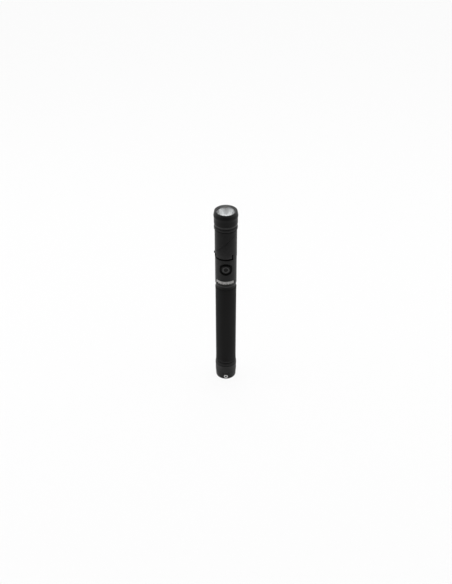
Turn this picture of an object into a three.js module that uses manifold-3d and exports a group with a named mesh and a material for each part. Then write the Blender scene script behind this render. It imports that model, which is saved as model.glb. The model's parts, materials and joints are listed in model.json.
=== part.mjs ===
// A slim flashlight that stands on its tail, in millimetres, +Z up.
// The origin is the middle of the tail's base. Two lithium cells lie in line in the grip.
// The head is cut across at 45 degrees and swivels on a hollow bolt, so half a turn points the beam sideways.
// A bayonet holds the head on the switch section.
// The button faces -Y. Angles round the axis are counted from the button, positive towards +X.

import * as THREE from 'three';
import { mergeVertices } from 'three/addons/utils/BufferGeometryUtils.js';
import Module from 'manifold-3d';

const wasm = await Module();
wasm.setup();

// Clearances
const GAP = 0.3; // between pieces that seat on each other
const RUN = 0.25; // radial, between pieces that screw, slide or turn in each other

// Facets round the axis
const OUTER_SIDES = 36;
const INNER_SIDES = 24;
const SMALL_SIDES = 16;

// Cells
const CELL_RADIUS = 9.2;
const CELL_LENGTH = 65;
const CELL_EDGE = 0.6;
const NUB_RADIUS = 2.9;
const NUB_HEIGHT = 1;
const CELL_PLAY = 0.6; // radial gap to the bore

// Tail cap and what it holds
const CAP_HEIGHT = 26.2;
const CAP_FLOOR = 9; // solid end, crossed by the lanyard bush
const CAP_EDGE_WALL = 0.8; // wall at the open end
const CAP_FOOT_HEIGHT = 8; // plain foot under the knurled band
const CAP_FOOT_ROUND = 0.8;
const CAP_FOOT_TAPER = 0.25; // foot swells by this much up to the band
const CAP_BAND_STEP = 0.6; // how far the band stands out from the foot
const CAP_BAND_RAMP = 0.9;
const CAP_CREST_STEP = 0.12; // extra swell at the top of the band
const CAP_CREST_LENGTH = 2.4;
const CAP_GROOVE_DROP = 5.2; // from the cap's open end to the groove
const CAP_GROOVE_WIDTH = 1.4;
const CAP_GROOVE_DEPTH = 0.5;
const CAP_GROOVE_RAMP = 0.25;
const BUSH_Z = 4.4;
const BUSH_RADIUS = 2.6;
const BUSH_BORE = 1.2;
const BUSH_PROUD = 0.2;
const PLATE_THICKNESS = 0.8;
const PLATE_RADIUS = 9.9;
const SPRING_HEIGHT = 6.3;
const SPRING_WIRE = 0.9;
const SPRING_FOOT_RADIUS = 7.2;
const SPRING_TIP_RADIUS = 4.6;
const SPRING_TURNS = 3;

// Grip tube
const PARTING = 1; // open groove between the tail cap and the grip
const SPIGOT_WALL = 1.9; // threaded end that goes into the tail cap
const SPIGOT_LENGTH = 12.7;
const GRIP_SHOULDER = 1; // grip stands out this far over the spigot
const GRIP_LIP = 0.18; // swell at the top end
const GRIP_LIP_HEIGHT = 1.6;
const GRIP_LIP_RAMP = 1.6;
const GRIP_END_BEVEL = 0.3; // at the lower end
const GRIP_BEVEL = 0.6; // at the top end
const GRIP_BEVEL_HEIGHT = 0.9;
const TAIL_ORING_DROP = 2.6; // seal's middle under the grip's shoulder
const TAIL_ORING_SECTION = 0.55;

// Neck and switch housing
const CELL_REACH = 7.7; // how far the upper cell reaches past the grip into the housing
const HOUSING_SPIGOT_WALL = 1.4;
const HOUSING_SPIGOT_LENGTH = 9;
const NECK_HEIGHT = 4.4;
const NECK_DEPTH = 0.55; // how far the neck lies under the grip's surface
const HOUSING_STEP = 0.14; // how far the housing stands out over the grip
const HOUSING_LENGTH = 38.1;
const HOUSING_BEVEL_HEIGHT = 1.3;
const HOUSING_BEVEL_DEPTH = 0.6;
const HOUSING_TOP_BEVEL = 0.25;
const COLLAR_HEIGHT = 7.1; // plain collar inside the head's skirt
const COLLAR_WALL = 1.6;
const LEDGE_WIDTH = 1.3;
const LEDGE_HEIGHT = 1.4;
const BOARD_THICKNESS = 1.4;

// Button and switch, measured along -Y
const BUTTON_RISE = 25.8; // above the housing's lower end
const RECESS_RADIUS = 7.6;
const RECESS_DEPTH = 2.34;
const SEAT_WALL = 1.2;
const BUTTON_RADIUS = 4.95;
const BUTTON_TRAVEL = 0.9;
const BUTTON_FLANGE = 0.95;
const BUTTON_FLANGE_THICKNESS = 0.7;
const BUTTON_RIM_OVER = 0.5; // rim stands this far over the housing's crest
const BUTTON_DISH_RADIUS = 2.6;
const BUTTON_DISH_DEPTH = 0.85;
const BUTTON_DISH_SLOPE = 0.4;
const BUTTON_ROUND = 0.8;
const BUTTON_DISH_ROUND = 0.25;
const PLUNGER_RADIUS = 1.7;
const PLUNGER_LENGTH = 2.1;
const TACT_SIZE = 6.2;
const TACT_BACK = 0.4;
const SWITCH_BOARD_WIDTH = 14.5;
const SWITCH_BOARD_HEIGHT = 27;
const SWITCH_BOARD_THICKNESS = 1.2;
const CARRIER_END = 4.5; // full round ends of the carrier
const CONTACT_RADIUS = 3.2;
const CONTACT_HEAD = 1.6;
const CONTACT_STEM_RADIUS = 1.4;
const CONTACT_STEM = 2.8;

// Head, cut across at 45 degrees
const HEAD_STEP = 0.35; // how far the head stands out over the grip
const HEAD_WALL = 2.6;
const SKIRT_WALL = 1.95;
const CUT_RISE = 22.4; // from the joint to the cut, on the axis
const CUT_ANGLE = Math.PI / 4;
const SEAM = 0.3; // gap between the two halves
const WEB = 2.4; // slanted floors on both sides of the cut
const SHOULDER_RISE = 41.9; // from the joint to the shoulder under the bezel
const RIDGE_STEP = 0.75;
const RIDGE_FOOT = 4.3; // from the ridge's foot to the shoulder
const RIDGE_RAMP = 0.7;
const RIDGE_CROWN = 2.1;
const SHOULDER_STEP = 0.4;

// Bayonet
const PIN_RADIUS = 1.3;
const PIN_RISE = 5.1; // above the joint
const PIN_PROUD = 0.85;
const SLOT_PLAY = 0.2;
const PIN_ANGLE = THREE.MathUtils.degToRad(-90);
const REAR_PIN_ANGLE = THREE.MathUtils.degToRad(150);
const BAYONET_TURN = THREE.MathUtils.degToRad(21);
const SLIT_ANGLE = THREE.MathUtils.degToRad(37);
const SLIT_WIDTH = 1.7;
const SLIT_RISE = 7.2;
const RELIEF_RISE = 1.5; // skirt lifts off the housing between the slot and the slit

// Swivel bolt and its contact, measured along the slanted axis
const BOLT_RADIUS = 5.2;
const BOLT_BORE = 2.4;
const BOLT_FLANGE = 7.4;
const BOLT_FLANGE_THICKNESS = 1.5;
const WASHER_RADIUS = 7.6;
const WASHER_THICKNESS = 0.8;
const NUT_RADIUS = 7.6;
const NUT_THICKNESS = 2;
const NUT_NOTCH = 1.8;
const BOLT_END = 1.3; // thread that shows under the nut
const SLEEVE_WALL = 0.7;
const PIN_REACH = 1.2; // contact pin stands out of the bolt's end
const LEAF_THICKNESS = 0.5;
const LEAF_WIDTH = 3;
const LEAF_PAD = 1.6;
const LEAF_FOOT = 7;
const LEAD_RADIUS = 0.7;

// Bezel, lens and light engine
const BEZEL_LENGTH = 18.2;
const BEZEL_STEP = 0.77; // bezel band over the head
const BEZEL_FOOT_BEVEL = 0.6;
const BEZEL_FOOT_LAND = 1.6; // plain stretch under the foot bevel
const BEZEL_FOOT_HEIGHT = 3;
const FLANGE_STEP = 0.43; // flange over the bezel band
const FLANGE_DROP = 5.5; // from the rim to the flange's crest
const FLANGE_FOOT = 3.2;
const FLANGE_CREST = 0.4; // width of the crest
const RIM_SETBACK = 1.45; // rim inside the flange's crest
const RIM_ROUND = 0.5;
const NOSE_LENGTH = 6.7;
const NOSE_WALL = 0.9;
const NOSE_DROP = 1.15; // nose inside the head's surface
const LENS_OPENING = 10.4;
const LENS_LAP = 0.9;
const LENS_THICKNESS = 1.6;
const MOUTH_WIDTH = 1.7; // flare from the lens opening out to the rim
const MOUTH_DEPTH = 1.7;
const LIP = 0.3; // plain lip over the lens, under the flare
const GASKET_HEIGHT = 0.5;
const GASKET_WIDTH = 0.6;
const GASKET_GAP = 0.1;
const REFLECTOR_FOCUS = 2.6;
const REFLECTOR_WALL = 0.8;
const REFLECTOR_RIM = 1.6;
const REFLECTOR_HOLE = 3.2;
const LED_BASE = 3.6;
const LED_BASE_HEIGHT = 0.8;
const LED_DOME = 1.6;
const LED_HEIGHT = LED_BASE_HEIGHT + LED_DOME;
const SPACER_RADIUS = 4.6;
const SPACER_BORE = 2.85;
const LED_BOARD_RADIUS = 8;
const LED_BOARD_THICKNESS = 1.6;
const SINK_LEDGE = 3.1; // ledge for the heat sink, under the shoulder
const SINK_LAP = 0.45;
const DRIVER_THICKNESS = 1.5;

// How far a cutting tool reaches past the face that it cuts
const PAST = 1;

// Radii that follow from the cell outwards
const tubeBore = CELL_RADIUS + CELL_PLAY;
const spigotRadius = tubeBore + SPIGOT_WALL;
const gripRadius = spigotRadius + GRIP_SHOULDER;
const capBore = spigotRadius + RUN;
const capEdgeRadius = capBore + CAP_EDGE_WALL;
const housingRadius = gripRadius + HOUSING_STEP;
const housingSpigotRadius = tubeBore + HOUSING_SPIGOT_WALL;
const headRadius = gripRadius + HEAD_STEP;
const headBore = headRadius - HEAD_WALL;
const skirtBore = headRadius - SKIRT_WALL;
const collarRadius = skirtBore - RUN;
const collarBore = collarRadius - COLLAR_WALL;
const noseRadius = headRadius - NOSE_DROP;
const noseBore = noseRadius - NOSE_WALL;
const bezelRadius = headRadius + BEZEL_STEP;
const flangeRadius = bezelRadius + FLANGE_STEP;
const lensRadius = LENS_OPENING + LENS_LAP;

// Heights that follow from the base upwards
const plateZ = CAP_FLOOR + GAP;
const springZ = plateZ + PLATE_THICKNESS + GAP;
const lowerCellZ = springZ + SPRING_HEIGHT + GAP;
const cellPitch = CELL_LENGTH + NUB_HEIGHT + GAP;
const frontContactZ = lowerCellZ + 2 * cellPitch;
const capGrooveZ = CAP_HEIGHT - CAP_GROOVE_DROP;
const gripBottom = CAP_HEIGHT + PARTING;
const tailOringZ = gripBottom - TAIL_ORING_DROP;
const gripTop = frontContactZ - CELL_REACH;
const spigotBottom = gripBottom - SPIGOT_LENGTH;
const housingBottom = gripTop + NECK_HEIGHT;
const jointZ = housingBottom + HOUSING_LENGTH;
const buttonZ = housingBottom + BUTTON_RISE;
const collarTop = jointZ + COLLAR_HEIGHT;
const ledgeTop = collarTop - BOARD_THICKNESS - GAP;
const ledgeBottom = ledgeTop - LEDGE_HEIGHT;
const cutZ = jointZ + CUT_RISE;
const shoulderZ = jointZ + SHOULDER_RISE;
const sinkLedgeZ = shoulderZ - SINK_LEDGE;
const sinkBottom = sinkLedgeZ + GAP;
const driverTop = sinkBottom - GAP;
const driverBottom = driverTop - DRIVER_THICKNESS;
const bezelBottom = shoulderZ + GAP;
const rimZ = bezelBottom + BEZEL_LENGTH;
const lipZ = rimZ - MOUTH_DEPTH - LIP;
const lensTop = lipZ - GASKET_GAP;
const lensBottom = lensTop - LENS_THICKNESS;
const gasketTop = lensBottom - GASKET_GAP;
const reflectorTop = gasketTop - GASKET_HEIGHT - GASKET_GAP;
const reflectorVertex = reflectorTop - LENS_OPENING ** 2 / (4 * REFLECTOR_FOCUS);
const reflectorBottom = reflectorVertex + REFLECTOR_HOLE ** 2 / (4 * REFLECTOR_FOCUS);
const ledZ = reflectorVertex + REFLECTOR_FOCUS - LED_HEIGHT;
const ledBoardZ = ledZ - GAP - LED_BOARD_THICKNESS;

// Depths behind the button, as distances from the axis towards -Y
const recessFloor = housingRadius - RECESS_DEPTH;
const buttonSeat = recessFloor - SEAT_WALL;
const flangeFront = buttonSeat - GAP;
const flangeBack = flangeFront - BUTTON_FLANGE_THICKNESS;
const plungerFront = flangeBack - GAP;
const plungerBack = plungerFront - PLUNGER_LENGTH;
const tactFront = flangeBack - BUTTON_TRAVEL - RUN;
const tactHole = plungerBack - BUTTON_TRAVEL - RUN;
const tactBack = tactHole - TACT_BACK;
const switchBoardFront = tactBack - GAP;
const switchBoardBack = switchBoardFront - SWITCH_BOARD_THICKNESS;
const carrierFlat = switchBoardBack - GAP;

// Stations along the slanted axis, from the cut
const upperWebTop = SEAM / 2 + WEB;
const lowerWebBottom = -SEAM / 2 - WEB;
const boltFlangeBottom = upperWebTop + GAP;
const washerTop = lowerWebBottom - GAP;
const nutTop = washerTop - WASHER_THICKNESS - GAP;
const nutBottom = nutTop - NUT_THICKNESS;
const boltBottom = nutBottom - BOLT_END;
const boltTop = boltFlangeBottom + BOLT_FLANGE_THICKNESS;
const sleeveBore = BOLT_BORE - RUN - SLEEVE_WALL;
const contactPinRadius = sleeveBore - RUN;
const contactPinBottom = boltBottom - PIN_REACH;

// Finishes
function finish(color, roughness, metalness) {
  return new THREE.MeshStandardMaterial({ color, roughness, metalness });
}
const anodised = finish(0x1b1b1d, 0.45, 0.7);
const anodisedGrip = finish(0x151516, 0.6, 0.6);
const anodisedNeck = finish(0x29292b, 0.35, 0.8);
const blackSteel = finish(0x121212, 0.5, 0.6);
const nickel = finish(0xc9c9c6, 0.25, 1);
const brass = finish(0xb8963e, 0.35, 1);
const steel = finish(0x9a9b9d, 0.3, 1);
const mirror = finish(0xe8e8ea, 0.05, 1);
const glass = finish(0xdfe8ea, 0.05, 0);
const rubber = finish(0x101010, 0.9, 0);
const blackPlastic = finish(0x202022, 0.6, 0);
const greenBoard = finish(0x1f5a36, 0.5, 0);
const whiteBoard = finish(0xe6e6e0, 0.5, 0);
const phosphor = finish(0xe3c94a, 0.4, 0);
const cellWrap = finish(0x2c5f8a, 0.4, 0);

// A closed three.js geometry as a solid that can be joined and cut
function solid(geometry) {
  const bare = geometry.clone();
  bare.deleteAttribute('normal');
  bare.deleteAttribute('uv');
  const merged = mergeVertices(bare, 1e-4);
  const kept = [];
  const corners = merged.index.array;
  for (let i = 0; i < corners.length; i += 3) {
    const [a, b, c] = [corners[i], corners[i + 1], corners[i + 2]];
    if (a !== b && b !== c && c !== a) kept.push(a, b, c);
  }
  const vertProperties = new Float32Array(merged.attributes.position.array);
  const triVerts = new Uint32Array(kept);
  return new wasm.Manifold(new wasm.Mesh({ numProp: 3, vertProperties, triVerts }));
}

// A solid back as a three.js geometry
function geometryOf(body) {
  const { vertProperties, triVerts } = body.getMesh();
  const geometry = new THREE.BufferGeometry();
  geometry.setAttribute('position', new THREE.BufferAttribute(vertProperties, 3));
  geometry.setIndex(new THREE.BufferAttribute(triVerts, 1));
  geometry.computeVertexNormals();
  return geometry;
}

// Adds one named piece to a group
function addPiece(group, name, material, body) {
  const mesh = new THREE.Mesh(geometryOf(body), material);
  mesh.name = name;
  group.add(mesh);
}

// Turned geometry round Z from [radius, height] points, wound so that its faces point out
function turnedGeometry(points, sides) {
  const outline = points.map(([r, z]) => new THREE.Vector2(r, z));
  if (THREE.ShapeUtils.isClockWise(outline)) outline.reverse();
  const onAxis = outline.every((p, i) => p.x > 0 || i === 0 || i === outline.length - 1);
  const open = onAxis && outline[0].x === 0 && outline.at(-1).x === 0;
  if (!open) outline.push(outline[0].clone());
  return new THREE.LatheGeometry(outline, sides).rotateX(Math.PI / 2);
}

// A turned solid. A profile that touches the axis starts and ends there.
function turned(points, sides = OUTER_SIDES) {
  return solid(turnedGeometry(points, sides));
}

// Profile points of a round stretch about a centre, between two angles in degrees
function arc(r, z, radius, from, to, steps) {
  const points = [];
  for (let i = 0; i <= steps; i += 1) {
    const angle = THREE.MathUtils.degToRad(THREE.MathUtils.lerp(from, to, i / steps));
    points.push([r + radius * Math.cos(angle), z + radius * Math.sin(angle)]);
  }
  return points;
}

// A plain ring or tube
function ring(inner, outer, bottom, top, sides = INNER_SIDES) {
  return turned([[inner, bottom], [outer, bottom], [outer, top], [inner, top]], sides);
}

// A plain disc or rod
function disc(radius, bottom, top, sides = INNER_SIDES) {
  return turned([[0, bottom], [radius, bottom], [radius, top], [0, top]], sides);
}

// A round section ring, such as an O-ring
function oring(radius, section, height) {
  const facets = 8;
  return turned(arc(radius, height, section, 0, 360, facets).slice(1), INNER_SIDES);
}

// A box from its lowest to its highest corner
function box(low, high) {
  const size = high.map((v, i) => v - low[i]);
  const middle = high.map((v, i) => (v + low[i]) / 2);
  return solid(new THREE.BoxGeometry(...size).translate(...middle));
}

// Turns a solid's geometry that was drawn along Z so that Z points to the given direction, from a place
function aimed(points, sides, direction, place) {
  const turn = new THREE.Quaternion().setFromUnitVectors(new THREE.Vector3(0, 0, 1), direction);
  const geometry = turnedGeometry(points, sides).applyQuaternion(turn);
  return solid(geometry.translate(place.x, place.y, place.z));
}

// Unit vector away from the axis at an angle counted from the button
function outward(angle) {
  return new THREE.Vector3(Math.sin(angle), -Math.cos(angle), 0);
}

// Part of a ring between two angles counted from the button
function sector(inner, outer, from, to, bottom, top) {
  const start = from - Math.PI / 2;
  const end = to - Math.PI / 2;
  const shape = new THREE.Shape();
  shape.absarc(0, 0, outer, start, end, false);
  shape.absarc(0, 0, inner, end, start, true);
  const depth = top - bottom;
  const options = { depth, bevelEnabled: false, curveSegments: 10 };
  return solid(new THREE.ExtrudeGeometry(shape, options).translate(0, 0, bottom));
}

// A strip bent along points in the XZ plane, with its width along Y
function bentStrip(points, thickness, width) {
  const path = points.map(([x, z]) => new THREE.Vector2(x, z));
  const side = (sign) =>
    path.map((point, i) => {
      const before = path[Math.max(i - 1, 0)];
      const after = path[Math.min(i + 1, path.length - 1)];
      const into = (i ? point.clone().sub(before) : after.clone().sub(point)).normalize();
      const out = (i < path.length - 1 ? after.clone().sub(point) : into.clone()).normalize();
      const normal = into.clone().add(out).normalize();
      const reach = thickness / 2 / normal.dot(into);
      return point.clone().add(new THREE.Vector2(-normal.y, normal.x).multiplyScalar(sign * reach));
    });
  const shape = new THREE.Shape([...side(1), ...side(-1).reverse()]);
  const geometry = new THREE.ExtrudeGeometry(shape, { depth: width, bevelEnabled: false });
  return solid(geometry.rotateX(Math.PI / 2).translate(0, width / 2, 0));
}

// A round wire along a curve
function wire(curve, radius, sides, steps) {
  const section = new THREE.Shape();
  for (let i = 0; i < sides; i += 1) {
    const angle = (i / sides) * 2 * Math.PI;
    const place = [radius * Math.cos(angle), radius * Math.sin(angle)];
    if (i) section.lineTo(...place);
    else section.moveTo(...place);
  }
  return solid(new THREE.ExtrudeGeometry(section, { steps, extrudePath: curve }));
}

// Everything on one side of a plane square to the slanted axis
const slant = new THREE.Matrix4().makeRotationY(-CUT_ANGLE).setPosition(0, 0, cutZ);
const SPAN = 4 * (flangeRadius + CUT_RISE);
function pastCut(station, sign) {
  const block = new THREE.BoxGeometry(SPAN, SPAN, SPAN).translate(0, 0, station + (sign * SPAN) / 2);
  return solid(block.applyMatrix4(slant));
}

// A hole along the slanted axis, through the floors on both sides of the cut
function slantedHole(radius) {
  const reach = upperWebTop + GAP;
  return solid(turnedGeometry([[0, -reach], [radius, -reach], [radius, reach], [0, reach]], INNER_SIDES)
    .applyMatrix4(slant));
}

// Tail cap: plain foot, knurled band, groove and a taper down to the grip
function tailCap() {
  const foot = gripRadius;
  const band = foot + CAP_BAND_STEP;
  const crest = band + CAP_CREST_STEP;
  const grooveTop = capGrooveZ + CAP_GROOVE_WIDTH;
  const shell = turned([
    [0, 0],
    ...arc(foot - CAP_FOOT_ROUND, CAP_FOOT_ROUND, CAP_FOOT_ROUND, -90, 0, 3),
    [foot + CAP_FOOT_TAPER, CAP_FOOT_HEIGHT],
    [band, CAP_FOOT_HEIGHT + CAP_BAND_RAMP],
    [crest, capGrooveZ - CAP_CREST_LENGTH],
    [crest, capGrooveZ - CAP_GROOVE_RAMP],
    [crest - CAP_GROOVE_DEPTH, capGrooveZ],
    [crest - CAP_GROOVE_DEPTH, grooveTop],
    [band, grooveTop + CAP_GROOVE_RAMP],
    [capEdgeRadius, CAP_HEIGHT],
    [capBore, CAP_HEIGHT],
    [capBore, spigotBottom - GAP],
    [PLATE_RADIUS + GAP, spigotBottom - GAP],
    [PLATE_RADIUS + GAP, CAP_FLOOR],
    [0, CAP_FLOOR],
  ]);
  const hole = aimed(
    [[0, -2 * foot], [BUSH_RADIUS + GAP, -2 * foot], [BUSH_RADIUS + GAP, 2 * foot], [0, 2 * foot]],
    SMALL_SIDES, new THREE.Vector3(0, -1, 0), new THREE.Vector3(0, 0, BUSH_Z));
  return shell.subtract(hole);
}

// Bright bush through the tail's foot, for a wrist cord
function lanyardBush() {
  const half = gripRadius + CAP_FOOT_TAPER + BUSH_PROUD;
  const round = (BUSH_RADIUS - BUSH_BORE) / 3;
  return aimed([
    [BUSH_BORE, -half + round],
    [BUSH_BORE + round, -half],
    [BUSH_RADIUS - round, -half],
    [BUSH_RADIUS, -half + round],
    [BUSH_RADIUS, half - round],
    [BUSH_RADIUS - round, half],
    [BUSH_BORE + round, half],
    [BUSH_BORE, half - round],
  ], SMALL_SIDES, new THREE.Vector3(0, -1, 0), new THREE.Vector3(0, 0, BUSH_Z));
}

// Conical contact spring, wide at its foot on the plate
class SpringCurve extends THREE.Curve {
  getPoint(t, target = new THREE.Vector3()) {
    const angle = t * SPRING_TURNS * 2 * Math.PI;
    const radius = THREE.MathUtils.lerp(SPRING_FOOT_RADIUS, SPRING_TIP_RADIUS, t);
    const climb = THREE.MathUtils.lerp(SPRING_WIRE / 2, SPRING_HEIGHT - SPRING_WIRE / 2, t);
    return target.set(radius * Math.cos(angle), radius * Math.sin(angle), springZ + climb);
  }
}

function tailSpring() {
  const curve = new SpringCurve();
  const steps = 8 * SPRING_TURNS;
  const points = curve.getSpacedPoints(steps * 4);
  let least = Infinity;
  points.forEach((a, i) => {
    points.slice(i + 16).forEach((b) => {
      least = Math.min(least, a.distanceTo(b) - SPRING_WIRE);
    });
  });
  console.log(`tail spring, least gap between its turns: ${least.toFixed(2)} mm`);
  return wire(curve, SPRING_WIRE / 2, 5, steps);
}

// Cell with a raised positive end
function cell(bottom) {
  const top = bottom + CELL_LENGTH;
  return turned([
    [0, bottom],
    [CELL_RADIUS - CELL_EDGE, bottom],
    [CELL_RADIUS, bottom + CELL_EDGE],
    [CELL_RADIUS, top - CELL_EDGE],
    [CELL_RADIUS - CELL_EDGE, top],
    [NUB_RADIUS, top],
    [NUB_RADIUS, top + NUB_HEIGHT],
    [0, top + NUB_HEIGHT],
  ], INNER_SIDES);
}

// Grip tube with a spigot for the tail cap and a counterbore for the switch housing
const oringFloor = capBore - RUN / 2 - 2 * TAIL_ORING_SECTION - RUN / 2;
function batteryTube() {
  const counterbore = housingSpigotRadius + RUN;
  const counterboreBottom = gripTop - HOUSING_SPIGOT_LENGTH - GAP;
  const lip = gripRadius + GRIP_LIP;
  const grooveHalf = TAIL_ORING_SECTION + RUN / 2;
  return turned([
    [tubeBore, spigotBottom],
    [spigotRadius, spigotBottom],
    [spigotRadius, tailOringZ - grooveHalf],
    [oringFloor, tailOringZ - grooveHalf],
    [oringFloor, tailOringZ + grooveHalf],
    [spigotRadius, tailOringZ + grooveHalf],
    [spigotRadius, gripBottom],
    [gripRadius - GRIP_END_BEVEL, gripBottom],
    [gripRadius, gripBottom + GRIP_END_BEVEL],
    [gripRadius, gripTop - GRIP_LIP_HEIGHT - GRIP_LIP_RAMP],
    [lip, gripTop - GRIP_LIP_HEIGHT],
    [lip, gripTop - GRIP_BEVEL_HEIGHT],
    [lip - GRIP_BEVEL, gripTop],
    [counterbore, gripTop],
    [counterbore, counterboreBottom],
    [tubeBore, counterboreBottom],
  ]);
}

// Seal ring in the spigot's groove
function tailORing() {
  return oring(oringFloor + RUN / 2 + TAIL_ORING_SECTION, TAIL_ORING_SECTION, tailOringZ);
}

// Turned ring in the neck, between grip and switch housing
function neckRing() {
  const inner = housingSpigotRadius + RUN;
  const outer = gripRadius - NECK_DEPTH;
  return ring(inner, outer, gripTop + GAP, housingBottom - GAP, OUTER_SIDES);
}

// A round tool along -Y at the button, between two distances from the axis
function buttonTool(radius, from, to, sides = INNER_SIDES) {
  const points = [[0, from], [radius, from], [radius, to], [0, to]];
  return aimed(points, sides, outward(0), new THREE.Vector3(0, 0, buttonZ));
}

// Switch housing: spigot, button recess, collar with holes for the bayonet pins
function switchHousing() {
  const spigotEnd = gripTop - HOUSING_SPIGOT_LENGTH;
  const cellRoom = frontContactZ + CONTACT_HEAD;
  let body = turned([
    [tubeBore, spigotEnd],
    [housingSpigotRadius, spigotEnd],
    [housingSpigotRadius, housingBottom],
    [housingRadius - HOUSING_BEVEL_DEPTH, housingBottom],
    [housingRadius, housingBottom + HOUSING_BEVEL_HEIGHT],
    [housingRadius, jointZ - HOUSING_TOP_BEVEL],
    [housingRadius - HOUSING_TOP_BEVEL, jointZ],
    [collarRadius, jointZ],
    [collarRadius, collarTop],
    [collarBore, collarTop],
    [collarBore, ledgeTop],
    [collarBore - LEDGE_WIDTH, ledgeTop],
    [collarBore - LEDGE_WIDTH, ledgeBottom],
    [collarBore, ledgeBottom],
    [collarBore, cellRoom],
    [tubeBore, cellRoom],
  ]);
  const outside = 2 * housingRadius;
  body = body.subtract(buttonTool(RECESS_RADIUS, recessFloor, outside, OUTER_SIDES));
  body = body.subtract(buttonTool(BUTTON_RADIUS + RUN, 0, outside));
  body = body.subtract(buttonTool(BUTTON_RADIUS + BUTTON_FLANGE + RUN, 0, buttonSeat));
  for (const angle of [PIN_ANGLE, REAR_PIN_ANGLE]) {
    body = body.subtract(bayonetRod(angle, PIN_RADIUS + RUN, collarBore - COLLAR_WALL, outside));
  }
  return body;
}

// Rubber button with a raised rim, a dished middle and a flange that keeps it in
function switchButton() {
  const rim = housingRadius + BUTTON_RIM_OVER;
  const dish = rim - BUTTON_DISH_DEPTH;
  const round = [BUTTON_RADIUS - BUTTON_ROUND, rim - BUTTON_ROUND];
  const points = [
    [0, flangeBack],
    [BUTTON_RADIUS + BUTTON_FLANGE, flangeBack],
    [BUTTON_RADIUS + BUTTON_FLANGE, flangeFront],
    [BUTTON_RADIUS, flangeFront],
    ...arc(...round, BUTTON_ROUND, 0, 90, 3),
    [BUTTON_DISH_RADIUS + BUTTON_DISH_SLOPE, rim],
    [BUTTON_DISH_RADIUS, dish + BUTTON_DISH_ROUND],
    [BUTTON_DISH_RADIUS - BUTTON_DISH_SLOPE, dish],
    [0, dish],
  ];
  return aimed(points, INNER_SIDES, outward(0), new THREE.Vector3(0, 0, buttonZ));
}

// Tactile switch body, with a hole for its plunger
function tactSwitch() {
  const half = TACT_SIZE / 2;
  const body = box([-half, -tactFront, buttonZ - half], [half, -tactBack, buttonZ + half]);
  return body.subtract(buttonTool(PLUNGER_RADIUS + RUN, tactHole, 2 * housingRadius, SMALL_SIDES));
}

// Upright circuit board behind the button
function switchBoard() {
  const halfWidth = SWITCH_BOARD_WIDTH / 2;
  const halfHeight = SWITCH_BOARD_HEIGHT / 2;
  return box(
    [-halfWidth, -switchBoardFront, buttonZ - halfHeight],
    [halfWidth, -switchBoardBack, buttonZ + halfHeight]);
}

// Plastic cradle: round ends, a flat for the board and a hole for the front contact
const carrierBottom = frontContactZ + CONTACT_HEAD + GAP;
function switchCarrier() {
  const radius = collarBore - RUN;
  const top = ledgeBottom - GAP;
  const front = box(
    [-2 * radius, -2 * radius, carrierBottom + CARRIER_END],
    [2 * radius, -carrierFlat, top]);
  const socket = disc(CONTACT_STEM_RADIUS + RUN, carrierBottom - GAP,
    carrierBottom + CONTACT_STEM, SMALL_SIDES);
  return disc(radius, carrierBottom, top).subtract(front).subtract(socket);
}

// Brass stud against the upper cell
function frontContact() {
  const head = frontContactZ + CONTACT_HEAD;
  return turned([
    [0, frontContactZ],
    [CONTACT_RADIUS, frontContactZ],
    [CONTACT_RADIUS, head],
    [CONTACT_STEM_RADIUS, head],
    [CONTACT_STEM_RADIUS, head + CONTACT_STEM],
    [0, head + CONTACT_STEM],
  ], SMALL_SIDES);
}

// Radial rod at the height of the bayonet pins
function bayonetRod(angle, radius, from, to) {
  const points = [[0, from], [radius, from], [radius, to], [0, to]];
  return aimed(points, SMALL_SIDES, outward(angle), new THREE.Vector3(0, 0, jointZ + PIN_RISE));
}

// Bayonet pin with a rounded head
function bayonetPin(angle) {
  const tip = headRadius + PIN_PROUD;
  const round = PIN_PROUD / 2;
  const points = [
    [0, collarBore + RUN],
    [PIN_RADIUS, collarBore + RUN],
    [PIN_RADIUS, tip - round],
    [PIN_RADIUS - round, tip],
    [0, tip],
  ];
  return aimed(points, SMALL_SIDES, outward(angle), new THREE.Vector3(0, 0, jointZ + PIN_RISE));
}

// L slot for one bayonet pin: up from the skirt's edge, then across to where the pin rests
function bayonetSlot(angle) {
  const half = PIN_RADIUS + SLOT_PLAY;
  const halfAngle = half / skirtBore;
  const inner = skirtBore - RUN;
  const outer = 2 * headRadius;
  const pinZ = jointZ + PIN_RISE;
  const mouth = angle + BAYONET_TURN;
  const entry = sector(inner, outer, mouth - halfAngle, mouth + halfAngle, jointZ - PAST, pinZ + half);
  const leg = sector(inner, outer, angle - halfAngle, mouth + halfAngle, pinZ - half, pinZ + half);
  return entry.add(leg);
}

// Lower half of the head: skirt with slots, round bore and a slanted floor on top
function headBase() {
  const bottom = jointZ + GAP;
  const below = bottom - PAST;
  const top = cutZ + 2 * headRadius;
  const inner = skirtBore - RUN;
  const outer = 2 * headRadius;
  const slitHalf = SLIT_WIDTH / 2 / headRadius;
  const slitTop = jointZ + SLIT_RISE;
  const slit = sector(inner, outer, SLIT_ANGLE - slitHalf, SLIT_ANGLE + slitHalf, below, slitTop);
  const reliefStart = PIN_ANGLE + BAYONET_TURN;
  const relief = sector(inner, outer, reliefStart, SLIT_ANGLE, below, jointZ + RELIEF_RISE);
  const room = disc(headBore, below, top).subtract(pastCut(lowerWebBottom, 1));
  return disc(headRadius, bottom, top, OUTER_SIDES)
    .subtract(pastCut(-SEAM / 2, 1))
    .subtract(room)
    .subtract(disc(skirtBore, below, collarTop + GAP, OUTER_SIDES))
    .subtract(slantedHole(BOLT_RADIUS + RUN))
    .subtract(bayonetSlot(PIN_ANGLE))
    .subtract(bayonetSlot(REAR_PIN_ANGLE))
    .subtract(slit)
    .subtract(relief);
}

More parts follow.
